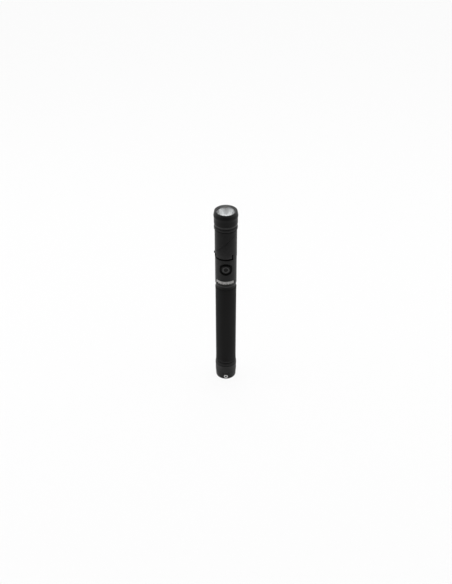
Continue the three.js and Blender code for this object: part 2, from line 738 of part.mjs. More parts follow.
// Upper half of the head: slanted floor, ridge under the bezel and a threaded nose
function headTop() {
  const low = cutZ - 2 * headRadius;
  const ridge = headRadius + RIDGE_STEP;
  const ridgeFoot = shoulderZ - RIDGE_FOOT;
  const outside = turned([
    [0, low],
    [headRadius, low],
    [headRadius, ridgeFoot],
    [ridge, ridgeFoot + RIDGE_RAMP],
    [ridge, ridgeFoot + RIDGE_RAMP + RIDGE_CROWN],
    [headRadius + SHOULDER_STEP, shoulderZ],
    [noseRadius, shoulderZ],
    [noseRadius, shoulderZ + NOSE_LENGTH],
    [0, shoulderZ + NOSE_LENGTH],
  ]);
  const room = disc(noseBore - SINK_LAP, low, sinkLedgeZ + PAST).subtract(pastCut(upperWebTop, -1));
  const engine = disc(noseBore, sinkLedgeZ, rimZ);
  return outside
    .subtract(pastCut(SEAM / 2, -1))
    .subtract(room)
    .subtract(engine)
    .subtract(slantedHole(BOLT_RADIUS + RUN));
}

// Hollow bolt that holds the two halves together
function swivelBolt() {
  return turned([
    [BOLT_BORE, boltBottom],
    [BOLT_RADIUS, boltBottom],
    [BOLT_RADIUS, boltFlangeBottom],
    [BOLT_FLANGE, boltFlangeBottom],
    [BOLT_FLANGE, boltTop],
    [BOLT_BORE, boltTop],
  ], INNER_SIDES);
}

// Ring nut with four notches for a pin wrench
function swivelNut() {
  let nut = ring(BOLT_RADIUS + RUN, NUT_RADIUS, nutBottom, nutTop);
  const half = NUT_NOTCH / 2;
  const floor = NUT_RADIUS - half;
  const middle = (nutBottom + nutTop) / 2;
  for (const [x, y] of [[1, 0], [0, 1], [-1, 0], [0, -1]]) {
    const low = [x * floor, y * floor];
    const high = [x * 2 * NUT_RADIUS, y * 2 * NUT_RADIUS];
    nut = nut.subtract(box(
      [Math.min(low[0], high[0]) - Math.abs(y) * half, Math.min(low[1], high[1]) - Math.abs(x) * half,
        nutBottom - PAST],
      [Math.max(low[0], high[0]) + Math.abs(y) * half, Math.max(low[1], high[1]) + Math.abs(x) * half,
        middle]));
  }
  return nut;
}

// Bronze leaf on the contact board, bent up so that its pad faces the contact pin
const leafZ = collarTop + GAP + LEAF_THICKNESS / 2;
function contactLeaf() {
  const reach = -contactPinBottom + GAP + LEAF_THICKNESS / 2;
  const padX = reach * Math.sin(CUT_ANGLE);
  const padZ = cutZ - reach * Math.cos(CUT_ANGLE);
  const alongX = LEAF_PAD * Math.cos(CUT_ANGLE);
  const alongZ = LEAF_PAD * Math.sin(CUT_ANGLE);
  return bentStrip([
    [padX - alongX - LEAF_FOOT, leafZ],
    [padX - alongX, leafZ],
    [padX - alongX, padZ - alongZ],
    [padX + alongX, padZ + alongZ],
  ], LEAF_THICKNESS, LEAF_WIDTH);
}

// Insulated lead from the contact pin's upper end to the driver
function driverLead() {
  const start = boltTop + 2 * GAP;
  const along = (station) => new THREE.Vector3(
    -station * Math.sin(CUT_ANGLE), 0, cutZ + station * Math.cos(CUT_ANGLE));
  const end = new THREE.Vector3(0, 0, driverBottom - GAP);
  const curve = new THREE.CubicBezierCurve3(
    along(start), along(start + 4 * LEAD_RADIUS), end.clone().setZ(end.z - 6 * LEAD_RADIUS), end);
  return wire(curve, LEAD_RADIUS, 8, 12);
}

// Bezel: foot bevel, plain band, flange and a rounded rim with a flared mouth down to the lens
function bezel() {
  const skirt = noseRadius + RUN;
  const seat = lensRadius + RUN;
  const rim = flangeRadius - RIM_SETBACK;
  const crestZ = rimZ - FLANGE_DROP;
  const seatBottom = shoulderZ + NOSE_LENGTH + GAP;
  return turned([
    [skirt, bezelBottom],
    [bezelRadius - BEZEL_FOOT_BEVEL, bezelBottom],
    [bezelRadius - BEZEL_FOOT_BEVEL, bezelBottom + BEZEL_FOOT_LAND],
    [bezelRadius, bezelBottom + BEZEL_FOOT_HEIGHT],
    [bezelRadius, crestZ - FLANGE_FOOT],
    [flangeRadius, crestZ - FLANGE_CREST / 2],
    [flangeRadius, crestZ + FLANGE_CREST / 2],
    ...arc(rim, rimZ - RIM_ROUND, RIM_ROUND, 0, 90, 3),
    [LENS_OPENING + MOUTH_WIDTH, rimZ],
    [LENS_OPENING, rimZ - MOUTH_DEPTH],
    [LENS_OPENING, lipZ],
    [seat, lipZ],
    [seat, seatBottom],
    [skirt, seatBottom],
  ]);
}

// Seal between the lens and the reflector's rim
function lensGasket() {
  return ring(lensRadius - GASKET_WIDTH, lensRadius, gasketTop - GASKET_HEIGHT, gasketTop);
}

// Parabolic reflector with a flat rim under the lens
function reflector() {
  const steps = 6;
  const inside = [];
  const outside = [];
  for (let i = 0; i <= steps; i += 1) {
    const r = THREE.MathUtils.lerp(REFLECTOR_HOLE, LENS_OPENING, i / steps);
    const z = reflectorVertex + r ** 2 / (4 * REFLECTOR_FOCUS);
    inside.push([r, z]);
    const back = Math.min(z, reflectorTop - REFLECTOR_RIM);
    if (i && back === z) outside.push([r + REFLECTOR_WALL, z]);
  }
  return turned([
    ...inside.reverse(),
    [REFLECTOR_HOLE + REFLECTOR_WALL, reflectorBottom],
    ...outside,
    [lensRadius, reflectorTop - REFLECTOR_RIM],
    [lensRadius, reflectorTop],
  ], INNER_SIDES);
}

// LED: square base with a dome
function led() {
  const half = LED_BASE / 2;
  const baseTop = ledZ + LED_BASE_HEIGHT;
  const base = box([-half, -half, ledZ], [half, half, baseTop]);
  const dome = turned([
    [0, baseTop - LED_BASE_HEIGHT / 2],
    [LED_DOME, baseTop - LED_BASE_HEIGHT / 2],
    ...arc(0, baseTop, LED_DOME, 0, 90, 3).slice(0, -1),
    [0, baseTop + LED_DOME],
  ], SMALL_SIDES);
  return base.add(dome);
}

// Heat sink: rests on the ledge in the head and carries the LED board
function heatSink() {
  return disc(noseBore - RUN, sinkBottom, ledBoardZ - GAP);
}

// The whole flashlight
const flashlight = new THREE.Group();
const tail = new THREE.Group();
const grip = new THREE.Group();
const switchSection = new THREE.Group();
const head = new THREE.Group();
const swivel = new THREE.Group();
swivel.rotation.y = -CUT_ANGLE;
swivel.position.z = cutZ;
flashlight.add(tail, grip, switchSection, head, swivel);

addPiece(tail, 'tail_cap', anodised, tailCap());
addPiece(tail, 'lanyard_bush', nickel, lanyardBush());
addPiece(tail, 'tail_plate', brass, disc(PLATE_RADIUS, plateZ, plateZ + PLATE_THICKNESS));
addPiece(tail, 'tail_spring', steel, tailSpring());

addPiece(grip, 'battery_tube', anodisedGrip, batteryTube());
addPiece(grip, 'tail_oring', rubber, tailORing());
addPiece(grip, 'cell_lower', cellWrap, cell(lowerCellZ));
addPiece(grip, 'cell_upper', cellWrap, cell(lowerCellZ + cellPitch));
addPiece(grip, 'neck_ring', anodisedNeck, neckRing());

addPiece(switchSection, 'switch_housing', anodised, switchHousing());
addPiece(switchSection, 'switch_button', rubber, switchButton());
addPiece(switchSection, 'switch_plunger', blackPlastic,
  buttonTool(PLUNGER_RADIUS, plungerBack, plungerFront, SMALL_SIDES));
addPiece(switchSection, 'tact_switch', blackPlastic, tactSwitch());
addPiece(switchSection, 'switch_board', greenBoard, switchBoard());
addPiece(switchSection, 'switch_carrier', blackPlastic, switchCarrier());
addPiece(switchSection, 'front_contact', brass, frontContact());
addPiece(switchSection, 'bayonet_pin_left', blackSteel, bayonetPin(PIN_ANGLE));
addPiece(switchSection, 'bayonet_pin_rear', blackSteel, bayonetPin(REAR_PIN_ANGLE));
addPiece(switchSection, 'contact_board', greenBoard,
  disc(collarBore - RUN, ledgeTop + GAP, collarTop));
addPiece(switchSection, 'contact_leaf', brass, contactLeaf());

addPiece(head, 'head_base', anodised, headBase());
addPiece(head, 'head_top', anodised, headTop());
addPiece(head, 'driver_lead', rubber, driverLead());
addPiece(head, 'driver_board', greenBoard,
  disc(noseBore - SINK_LAP - RUN, driverBottom, driverTop));
addPiece(head, 'heat_sink', brass, heatSink());
addPiece(head, 'led_board', whiteBoard,
  disc(LED_BOARD_RADIUS, ledBoardZ, ledBoardZ + LED_BOARD_THICKNESS));
addPiece(head, 'led', phosphor, led());
addPiece(head, 'led_spacer', blackPlastic,
  ring(SPACER_BORE, SPACER_RADIUS, ledZ, reflectorBottom - GAP));
addPiece(head, 'reflector', mirror, reflector());
addPiece(head, 'lens', glass, disc(lensRadius, lensBottom, lensTop, OUTER_SIDES));
addPiece(head, 'lens_gasket', rubber, lensGasket());
addPiece(head, 'bezel', anodised, bezel());

addPiece(swivel, 'swivel_bolt', steel, swivelBolt());
addPiece(swivel, 'swivel_washer', steel,
  ring(BOLT_RADIUS + RUN, WASHER_RADIUS, washerTop - WASHER_THICKNESS, washerTop));
addPiece(swivel, 'swivel_nut', steel, swivelNut());
addPiece(swivel, 'contact_sleeve', blackPlastic,
  ring(sleeveBore, BOLT_BORE - RUN, boltBottom, boltTop, SMALL_SIDES));
addPiece(swivel, 'contact_pin', brass,
  disc(contactPinRadius, contactPinBottom, boltTop + GAP, SMALL_SIDES));

export default flashlight;
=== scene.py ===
# Looks of a slim black flashlight that stands on its tail, in metres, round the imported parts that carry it.
# Angles round the long axis are counted from the button, which faces -Y, and are positive towards +X.
import json
import math

import bmesh
import bpy
from mathutils import Matrix, Vector

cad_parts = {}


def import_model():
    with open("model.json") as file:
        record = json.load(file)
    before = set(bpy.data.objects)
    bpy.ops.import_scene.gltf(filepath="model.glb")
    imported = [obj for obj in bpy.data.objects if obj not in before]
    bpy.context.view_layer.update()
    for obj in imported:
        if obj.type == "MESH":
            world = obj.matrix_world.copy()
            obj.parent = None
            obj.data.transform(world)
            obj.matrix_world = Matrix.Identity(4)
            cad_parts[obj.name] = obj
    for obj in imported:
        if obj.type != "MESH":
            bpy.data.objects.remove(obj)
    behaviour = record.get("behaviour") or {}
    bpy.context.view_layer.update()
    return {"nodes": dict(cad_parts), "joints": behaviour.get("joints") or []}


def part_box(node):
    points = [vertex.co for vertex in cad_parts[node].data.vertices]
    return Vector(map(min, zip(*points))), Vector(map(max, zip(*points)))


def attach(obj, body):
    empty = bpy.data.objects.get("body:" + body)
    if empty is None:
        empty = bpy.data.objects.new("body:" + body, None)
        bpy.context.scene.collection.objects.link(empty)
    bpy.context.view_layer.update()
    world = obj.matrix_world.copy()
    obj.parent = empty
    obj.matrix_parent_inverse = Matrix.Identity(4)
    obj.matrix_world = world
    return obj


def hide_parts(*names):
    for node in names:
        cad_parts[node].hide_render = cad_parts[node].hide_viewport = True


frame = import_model()

MM = 0.001


def reach(node):
    """Outer radius, lowest and highest point of a node that is turned about the long axis."""
    low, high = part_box(node)
    return high.x, low.z, high.z


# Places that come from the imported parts
CAP_RADIUS, _, CAP_TOP = reach("tail_cap")
GRIP_LIP_RADIUS, SPIGOT_BOTTOM, GRIP_TOP = reach("battery_tube")
NECK_RADIUS, NECK_BOTTOM, NECK_TOP = reach("neck_ring")
HOUSING_RADIUS, HOUSING_SPIGOT_BOTTOM, COLLAR_TOP = reach("switch_housing")
HEAD_RADIUS, SKIRT_BOTTOM, _ = reach("head_base")
RIDGE_RADIUS, _, NOSE_TOP = reach("head_top")
FLANGE_RADIUS, BEZEL_BOTTOM, RIM_Z = reach("bezel")
LENS_RADIUS, LENS_BOTTOM, LENS_TOP = reach("lens")
GASKET_RADIUS, GASKET_BOTTOM, GASKET_TOP = reach("lens_gasket")
_, REFLECTOR_BOTTOM, REFLECTOR_TOP = reach("reflector")
SEAL_RADIUS, SEAL_BOTTOM, SEAL_TOP = reach("tail_oring")
button_low, button_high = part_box("switch_button")
BUTTON_Z = (button_low.z + button_high.z) / 2
BUTTON_RIM = -button_low.y
BUTTON_BACK = -button_high.y
bush_low, bush_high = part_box("lanyard_bush")
BUSH_Z = (bush_low.z + bush_high.z) / 2
BUSH_RADIUS = (bush_high.z - bush_low.z) / 2
BUSH_HALF = bush_high.y
pin_low, pin_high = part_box("bayonet_pin_left")
PIN_Z = (pin_low.z + pin_high.z) / 2
PIN_RADIUS = (pin_high.z - pin_low.z) / 2
PIN_TIP = -pin_low.x
PIN_FOOT = -pin_high.x
swivel = next(joint for joint in frame["joints"] if joint["name"] == "head_swivel")
CUT_Z = swivel["pos_m"][2]
SLANT_AXIS = Vector(swivel["axis"]).normalized()

# Sizes that the boxes don't give
GAP = 0.3 * MM
FINE_EDGE = 0.12 * MM
GRIP_RADIUS = 12.7 * MM
PARTING = 1.0 * MM
GRIP_BOTTOM = CAP_TOP + PARTING
GRIP_KNURL_LOW = GRIP_BOTTOM + 2.2 * MM
GRIP_KNURL_HIGH = GRIP_TOP - 3.2 * MM
GRIP_BORE = 9.8 * MM
SPIGOT_RADIUS = 11.7 * MM
CAP_BORE = 11.95 * MM
BAND_RADIUS = 13.3 * MM
GROOVE_LOW = 21 * MM
GROOVE_HIGH = 22.4 * MM
KNURL_COUNT = 22
KNURL_HEIGHT = 4.0 * MM
KNURL_DEPTH = 0.35 * MM
KNURL_RUNOUT = 0.3 * MM
KNURL_FLAT = 0.46
THREAD_PITCH = 1.5 * MM
THREAD_STEPS = 40
THREAD_FADE = 10
HOUSING_BOTTOM = NECK_TOP + GAP
HOUSING_BEVEL = 1.3 * MM
JOINT_Z = SKIRT_BOTTOM - GAP
JOINT_EDGE = 0.25 * MM
COLLAR_RADIUS = 10.85 * MM
COLLAR_BORE = 9.25 * MM
SKIRT_BORE = 11.1 * MM
HEAD_BORE = 10.45 * MM
SHOULDER_Z = BEZEL_BOTTOM - GAP
RIDGE_FOOT = SHOULDER_Z - 4.3 * MM
NOSE_RADIUS = 11.9 * MM
NOSE_BORE = 11.0 * MM
FOOT_BEVEL_LOW = BEZEL_BOTTOM + 1.6 * MM
FOOT_BEVEL_HIGH = BEZEL_BOTTOM + 3 * MM
RECESS_RADIUS = 8.0 * MM
RECESS_DEPTH = 2.34 * MM
BUTTON_RADIUS = 4.95 * MM
BUTTON_HOLE = 5.2 * MM
MOUTH_FLOOR = 10.1 * MM
MOUTH_RADIUS = 12.1 * MM
MOUTH_DEPTH = 1.4 * MM
LIP_Z = RIM_Z - 2.0 * MM

# Fineness of the meshes
FULL_TURN = 2 * math.pi
ROUND_SIDES = 96
SMALL_SIDES = 48
KNURL_SIDES = 4 * KNURL_COUNT
CORNER_STEPS = 4
CORNER_SHARE = 0.45
ON_AXIS = 1e-9
SHARP = math.radians(34)
WELD = 0.002 * MM


# Mesh tools

def outward(angle):
    """Unit vector away from the long axis."""
    return Vector((math.sin(angle), -math.cos(angle), 0))


def spot(angle, radius, height):
    """A point at an angle round the long axis."""
    return outward(angle) * radius + Vector((0, 0, height))


def arc(radius, height, bend, start, end, steps):
    """Profile points on a round stretch about a centre, between two angles in degrees."""
    points = []
    for step in range(steps + 1):
        angle = math.radians(start + (end - start) * step / steps)
        points.append((radius + bend * math.cos(angle), height + bend * math.sin(angle)))
    return points


def softened(points, bend=FINE_EDGE, closed=True):
    """The profile with a small curve at each corner. A point's third number is that corner's own bend."""
    soft = []
    for i, point in enumerate(points):
        corner = Vector(point[:2])
        before = Vector(points[i - 1][:2]) - corner
        after = Vector(points[(i + 1) % len(points)][:2]) - corner
        size = point[2] if len(point) > 2 else bend
        size = min(size, CORNER_SHARE * before.length, CORNER_SHARE * after.length)
        tip = not closed and i in (0, len(points) - 1)
        if tip or size <= 0:
            soft.append(corner)
            continue
        start = corner + before.normalized() * size
        end = corner + after.normalized() * size
        for step in range(CORNER_STEPS + 1):
            t = step / CORNER_STEPS
            soft.append(start * (1 - t) ** 2 + corner * (2 * t * (1 - t)) + end * t ** 2)
    return soft


def level(radius, height, sides=ROUND_SIDES):
    """A ring of points round the long axis, or one point on it."""
    if radius < ON_AXIS:
        return [Vector((0, 0, height))]
    return [spot(FULL_TURN * k / sides, radius, height) for k in range(sides)]


def loft(bm, rings, closed=True, skip=()):
    """Joins rings of points into faces and returns the rings of vertices. skip holds (ring, side) pairs."""
    made = [[bm.verts.new(point) for point in ring] for ring in rings]
    last = len(made) if closed else len(made) - 1
    for i in range(last):
        here, there = made[i], made[(i + 1) % len(made)]
        for k in range(max(len(here), len(there))):
            if (i, k) in skip:
                continue
            corners = [here[k % len(here)], here[(k + 1) % len(here)]]
            corners += [there[(k + 1) % len(there)], there[k % len(there)]]
            corners = list(dict.fromkeys(corners))
            if len(corners) > 2:
                bm.faces.new(corners).smooth = True
    return made


def bridge(bm, before, after, smooth=True):
    """Faces between two loops that have as many vertices."""
    for k in range(len(before)):
        m = (k + 1) % len(before)
        bm.faces.new([before[k], before[m], after[m], after[k]]).smooth = smooth


def rings_of(points, closed=False, sides=ROUND_SIDES, bend=FINE_EDGE):
    """Rings of points round the long axis from a softened profile."""
    return [level(r, z, sides) for r, z in softened(points, bend, closed)]


def turned(points, closed=True, sides=ROUND_SIDES, bend=FINE_EDGE):
    """A turned solid from its profile. A profile that isn't closed starts and ends on the axis."""
    bm = bmesh.new()
    loft(bm, rings_of(points, closed, sides, bend), closed)
    return bm


def tube(inner, outer, low, high):
    """Profile of a plain tube."""
    return [(inner, low), (outer, low), (outer, high), (inner, high)]


def aimed(bm, angle, height):
    """Lays down a solid that was made along +Z, so that it points away from the long axis."""
    turn = Vector((0, 0, 1)).rotation_difference(outward(angle)).to_matrix().to_4x4()
    bmesh.ops.transform(bm, matrix=Matrix.Translation((0, 0, height)) @ turn, verts=bm.verts)
    return bm


def block(low, high, bend):
    """A box with rounded edges."""
    bm = bmesh.new()
    bmesh.ops.create_cube(bm, size=1)
    bmesh.ops.scale(bm, vec=Vector(high) - Vector(low), verts=bm.verts)
    bmesh.ops.translate(bm, vec=(Vector(high) + Vector(low)) / 2, verts=bm.verts)
    bmesh.ops.bevel(bm, geom=list(bm.edges), offset=bend, segments=3, profile=0.5, affect="EDGES")
    return bm


def curved_prism(bm, outline, inner, outer):
    """A prism through a round wall: an outline of (angle, height) points between two radii."""
    rings = [[spot(angle, radius, z) for angle, z in outline] for radius in (inner, outer)]
    for end in loft(bm, rings, closed=False):
        bm.faces.new(end)


def object_of(name, bm):
    """A linked object from a closed mesh, with its faces pointing out."""
    bmesh.ops.recalc_face_normals(bm, faces=bm.faces)
    mesh = bpy.data.meshes.new(name)
    bm.to_mesh(mesh)
    bm.free()
    made = bpy.data.objects.new(name, mesh)
    bpy.context.scene.collection.objects.link(made)
    return made


def cut(target, tool):
    """Cuts a closed tool out of an object, and leaves no slivers or many sided faces."""
    cutter = object_of("cutter", tool)
    modifier = target.modifiers.new("cut", "BOOLEAN")
    modifier.operation = "DIFFERENCE"
    modifier.solver = "EXACT"
    modifier.object = cutter
    bpy.context.view_layer.update()
    evaluated = target.evaluated_get(bpy.context.evaluated_depsgraph_get())
    mesh = bpy.data.meshes.new_from_object(evaluated)
    target.modifiers.remove(modifier)
    bm = bmesh.new()
    bm.from_mesh(mesh)
    bmesh.ops.remove_doubles(bm, verts=bm.verts, dist=WELD)
    bmesh.ops.dissolve_degenerate(bm, edges=bm.edges, dist=WELD)
    bmesh.ops.triangulate(bm, faces=[face for face in bm.faces if len(face.verts) > 4])
    bm.to_mesh(mesh)
    bm.free()
    target.data = mesh
    bpy.data.objects.remove(cutter)


def make_piece(name, bm, material, body, slot, *nodes, cuts=()):
    """A shaded piece in its material, less its cuts, tied to its body, hiding the nodes it stands for. slot
    is not used.
    """
    piece = object_of(name, bm)
    for tool in cuts:
        cut(piece, tool)
    piece.data.materials.clear()
    piece.data.materials.append(material)
    piece.data.set_sharp_from_angle(angle=SHARP)
    weighted = piece.modifiers.new("weighted", "WEIGHTED_NORMAL")
    weighted.keep_sharp = True
    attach(piece, body)
    if nodes:
        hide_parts(*nodes)


def knurl(bm, low_ring, high_ring, low, high, radius):
    """Raised diamonds between two rings that have four points for each diamond."""
    rows = 2 * round((high - low) / KNURL_HEIGHT)
    pitch = FULL_TURN / KNURL_COUNT
    step = (high - low) / rows
    ends = {0: low_ring, rows: high_ring}

    def vert(across, row, r):
        return bm.verts.new(spot(across * pitch, r, low + row * step))

    valleys = []
    for row in range(rows + 1):
        shift = 0.5 + 0.5 * (row % 2)
        if row in ends:
            valleys.append([ends[row][int(4 * (i + shift)) % KNURL_SIDES] for i in range(KNURL_COUNT)])
        else:
            valleys.append([vert(i + shift, row, radius - KNURL_DEPTH) for i in range(KNURL_COUNT)])

    for row in range(rows + 1):
        odd = row % 2
        for i in range(KNURL_COUNT):
            middle = i + 0.5 * odd
            column = (i + odd - 1) % KNURL_COUNT
            above = valleys[row + 1][column] if row < rows else None
            below = valleys[row - 1][column] if row > 0 else None
            if above and below:
                rim = [below, valleys[row][i], above, valleys[row][i - 1]]
                tops = [(middle, row - KNURL_FLAT), (middle + KNURL_FLAT / 2, row)]
                tops += [(middle, row + KNURL_FLAT), (middle - KNURL_FLAT / 2, row)]
                crown = [vert(across, up, radius) for across, up in tops]
                bridge(bm, rim, crown, smooth=False)
            else:
                first = int(4 * (middle - 0.5))
                edge = [ends[row][(first + n) % KNURL_SIDES] for n in range(5)]
                tip = above or below
                side = 1 if above else -1
                inset = row + side * (1 - KNURL_FLAT) / 3
                tops = [(middle - KNURL_FLAT / 3, inset), (middle + KNURL_FLAT / 3, inset)]
                tops += [(middle, inset + side * KNURL_FLAT)]
                crown = [vert(across, up, radius) for across, up in tops]
                bm.faces.new([*edge, crown[1], crown[0]])
                bm.faces.new([edge[-1], tip, crown[2], crown[1]])
                bm.faces.new([tip, edge[0], crown[0], crown[2]])
            bm.faces.new(crown)


def knurled(below, above, closed, low, high, radius):
    """A turned solid from the rings under and over its knurl."""
    bm = bmesh.new()
    edge = len(below) - 1
    made = loft(bm, below + above, closed, skip={(edge, k) for k in range(KNURL_SIDES)})
    knurl(bm, made[edge], made[edge + 1], low, high, radius)
    return bm


def thread(radius, depth, low, turns, start=0.0):
    """A helical ridge of a right hand thread. A negative depth points inwards."""
    bm = bmesh.new()
    count = int(turns * THREAD_STEPS)
    half = 0.42 * THREAD_PITCH
    flat = 0.12 * THREAD_PITCH
    sunk = -0.15 * depth
    rings = []
    for n in range(count + 1):
        angle = start + FULL_TURN * n / THREAD_STEPS
        fade = min(1, n / THREAD_FADE, (count - n) / THREAD_FADE)
        height = low + THREAD_PITCH * n / THREAD_STEPS
        section = [(sunk, -half), (depth * fade, -flat), (depth * fade, flat), (sunk, half)]
        rings.append([spot(angle, radius + out, height + up) for out, up in section])
    made = loft(bm, rings, closed=False)
    bm.faces.new(made[0])
    bm.faces.new(made[-1])
    return bm


# Shader groups

COLOUR_SOCKETS = {"Colour", "Dark", "Light", "Worn", "Band", "Root", "Crest"}


def new_group(name, inputs, outputs):
    """An empty node group with named sockets, of which some are colours and the others numbers."""
    group = bpy.data.node_groups.new(name, "ShaderNodeTree")
    for side, labels in (("INPUT", inputs), ("OUTPUT", outputs)):
        for label in labels:
            kind = "NodeSocketColor" if label in COLOUR_SOCKETS else "NodeSocketFloat"
            group.interface.new_socket(name=label, in_out=side, socket_type=kind)
    enter = group.nodes.new("NodeGroupInput")
    leave = group.nodes.new("NodeGroupOutput")
    return group, enter.outputs, leave.inputs


def feed(tree, socket, value):
    """Links another node's output to a socket, or sets a plain value on it."""
    if isinstance(value, bpy.types.NodeSocket):
        tree.links.new(value, socket)
    else:
        socket.default_value = value


def add(tree, kind, **values):
    """A node with its properties set and its inputs fed."""
    node = tree.nodes.new(kind)
    for label, value in values.items():
        if hasattr(node, label):
            setattr(node, label, value)
        else:
            feed(tree, node.inputs[label.replace("_", " ")], value)
    return node


def maths(tree, operation, a, b=0.0, clamp=False):
    """The output of a math node."""
    node = add(tree, "ShaderNodeMath", operation=operation, use_clamp=clamp)
    feed(tree, node.inputs[0], a)
    feed(tree, node.inputs[1], b)
    return node.outputs[0]


def spread(tree, value, from_low, from_high, to_low=0.0, to_high=1.0):
    """The output of a clamped map range node."""
    node = add(tree, "ShaderNodeMapRange")
    for socket, entry in zip(node.inputs, (value, from_low, from_high, to_low, to_high)):
        feed(tree, socket, entry)
    return node.outputs[0]


def blend_colours(tree, factor, first, second):
    """The output of a colour mix."""
    node = add(tree, "ShaderNodeMix", data_type="RGBA")
    for index, value in ((0, factor), (6, first), (7, second)):
        feed(tree, node.inputs[index], value)
    return node.outputs[2]


def object_place(tree):
    """Where a point of the object is, in metres at rest."""
    return add(tree, "ShaderNodeTexCoord").outputs["Object"]


def noise(tree, scale, detail):
    """Noise through the object."""
    node = add(tree, "ShaderNodeTexNoise", Vector=object_place(tree), Scale=scale, Detail=detail)
    return node.outputs["Fac"]


def polar(tree):
    """A point's distance from the long axis, and its height."""
    split = add(tree, "ShaderNodeSeparateXYZ", Vector=object_place(tree)).outputs
    squares = [maths(tree, "POWER", split[axis], 2.0) for axis in ("X", "Y")]
    return maths(tree, "SQRT", maths(tree, "ADD", *squares)), split["Z"]


def grain_group():
    """Blasted grain: broad mottling of colour and gloss, and a fine height."""
    group, given, put = new_group(
        "blasted_grain", ["Dark", "Light", "Smooth", "Rough", "Grain Scale"],
        ["Colour", "Roughness", "Height"])
    broad = noise(group, scale=180.0, detail=3.0)
    fine = noise(group, scale=given["Grain Scale"], detail=2.0)
    shares = [maths(group, "MULTIPLY", part, share) for part, share in ((broad, 0.6), (fine, 0.4))]
    mottle = maths(group, "ADD", *shares)
    tone = spread(group, mottle, 0.35, 0.65)
    feed(group, put["Colour"], blend_colours(group, tone, given["Dark"], given["Light"]))
    feed(group, put["Roughness"], spread(group, mottle, 0.3, 0.7, given["Smooth"], given["Rough"]))
    feed(group, put["Height"], fine)
    return group


def worn_edge_sheen_group():
    """Edges rubbed lighter and smoother, broken up by noise. The lighter edges are partly wear and partly
    painted highlights.
    """
    group, given, put = new_group(
        "edge_wear_and_highlight", ["Colour", "Worn", "Roughness", "Amount"], ["Colour", "Roughness"])
    bent = add(group, "ShaderNodeNewGeometry").outputs["Pointiness"]
    edge = spread(group, bent, 0.53, 0.62)
    broken = spread(group, noise(group, scale=700.0, detail=4.0), 0.35, 0.6, 0.25, 1.0)
    mask = maths(group, "MULTIPLY", maths(group, "MULTIPLY", edge, broken), given["Amount"], clamp=True)
    smoother = maths(group, "MULTIPLY", mask, 0.15)
    feed(group, put["Colour"], blend_colours(group, mask, given["Colour"], given["Worn"]))
    feed(group, put["Roughness"], maths(group, "SUBTRACT", given["Roughness"], smoother, clamp=True))
    return group


def lathe_group():
    """Fine turning lines, which run round the long axis on walls and faces alike."""
    group, given, put = new_group("lathe_lines", ["Pitch"], ["Height"])
    away, height = polar(group)
    run = maths(group, "DIVIDE", maths(group, "ADD", height, away), given["Pitch"])
    wave = maths(group, "SINE", maths(group, "MULTIPLY", run, FULL_TURN))
    line = maths(group, "ADD", maths(group, "MULTIPLY", wave, 0.5), 0.5)
    uneven = add(group, "ShaderNodeTexNoise", noise_dimensions="1D", W=run, Scale=3.0, Detail=2.0)
    feed(group, put["Height"], maths(group, "MULTIPLY", line, uneven.outputs["Fac"]))
    return group


def band_group():
    """A band of another tone between two heights, as far out as a limit from the long axis."""
    group, given, put = new_group(
        "tone_band",
        ["Colour", "Band", "Roughness", "Band Roughness", "Metal", "Band Metal", "Low", "High", "Limit"],
        ["Colour", "Roughness", "Metal"])
    away, height = polar(group)
    within = maths(group, "LESS_THAN", away, given["Limit"])
    above = maths(group, "GREATER_THAN", height, given["Low"])
    below = maths(group, "LESS_THAN", height, given["High"])
    mask = maths(group, "MULTIPLY", maths(group, "MULTIPLY", above, below), within)
    feed(group, put["Colour"], blend_colours(group, mask, given["Colour"], given["Band"]))
    for label in ("Roughness", "Metal"):
        feed(group, put[label], spread(group, mask, 0.0, 1.0, given[label], given["Band " + label]))
    return group


def crest_group():
    """Raised pattern on a round wall: painted shade at its root, and a crest rubbed lighter that is also a
    painted highlight.
    """
    group, given, put = new_group(
        "knurl_root_shade_crest_sheen", ["Colour", "Root", "Crest", "Radius", "Depth"], ["Colour"])
    away, _ = polar(group)
    share = maths(group, "DIVIDE", maths(group, "SUBTRACT", given["Radius"], away), given["Depth"])
    high = spread(group, share, 0.1, 0.45, 1.0, 0.0)
    deep = spread(group, share, 0.4, 0.9)
    crest_worn_and_lit = blend_colours(group, high, given["Colour"], given["Crest"])
    feed(group, put["Colour"], blend_colours(group, deep, crest_worn_and_lit, given["Root"]))
    return group


GRAIN = grain_group()
BAND = band_group()
CREST = crest_group()
EDGE_WEAR_AND_SHEEN = worn_edge_sheen_group()
LATHE = lathe_group()


# Finishes

BLASTED = 4000.0
MACHINED = 2500.0
DULL = 0.9
ANYWHERE = 1.0
MOUTH_LIMIT = MOUTH_RADIUS - 0.1 * MM
GROOVE_MARGIN = 0.1 * MM
THREAD_END = CAP_TOP - 1.5 * MM
RECESS_REACH = 8.6 * MM
SKIRT_REACH = 9 * MM
RIDGE_SHADE_LOW = RIDGE_FOOT - 0.3 * MM
RIDGE_SHADE_HIGH = RIDGE_FOOT + 1.3 * MM
RIDGE_SHINE_LOW = RIDGE_FOOT + 1.5 * MM
RIDGE_SHINE_HIGH = SHOULDER_Z - 0.4 * MM
MIRROR_BRIGHT_Z = REFLECTOR_TOP - 6.5 * MM
MIRROR_DULL_Z = REFLECTOR_TOP - 0.5 * MM


def new_material(name, **constants):
    """A material with constants set on its shader's own sockets."""
    material = bpy.data.materials.new(name)
    material.use_nodes = True
    tree = material.node_tree
    shader = tree.nodes["Principled BSDF"]
    for label, value in constants.items():
        shader.inputs[label.replace("_", " ")].default_value = value
    return material, tree, shader


def place_group(tree, group, **values):
    """The outputs of a group in a material, with its own values or links."""
    return add(tree, "ShaderNodeGroup", node_tree=group, **values).outputs


def grain_on(tree, dark, light, smooth, rough, scale):
    """The outputs of blasted grain in a material."""
    return place_group(tree, GRAIN, Dark=dark, Light=light, Smooth=smooth, Rough=rough, Grain_Scale=scale)


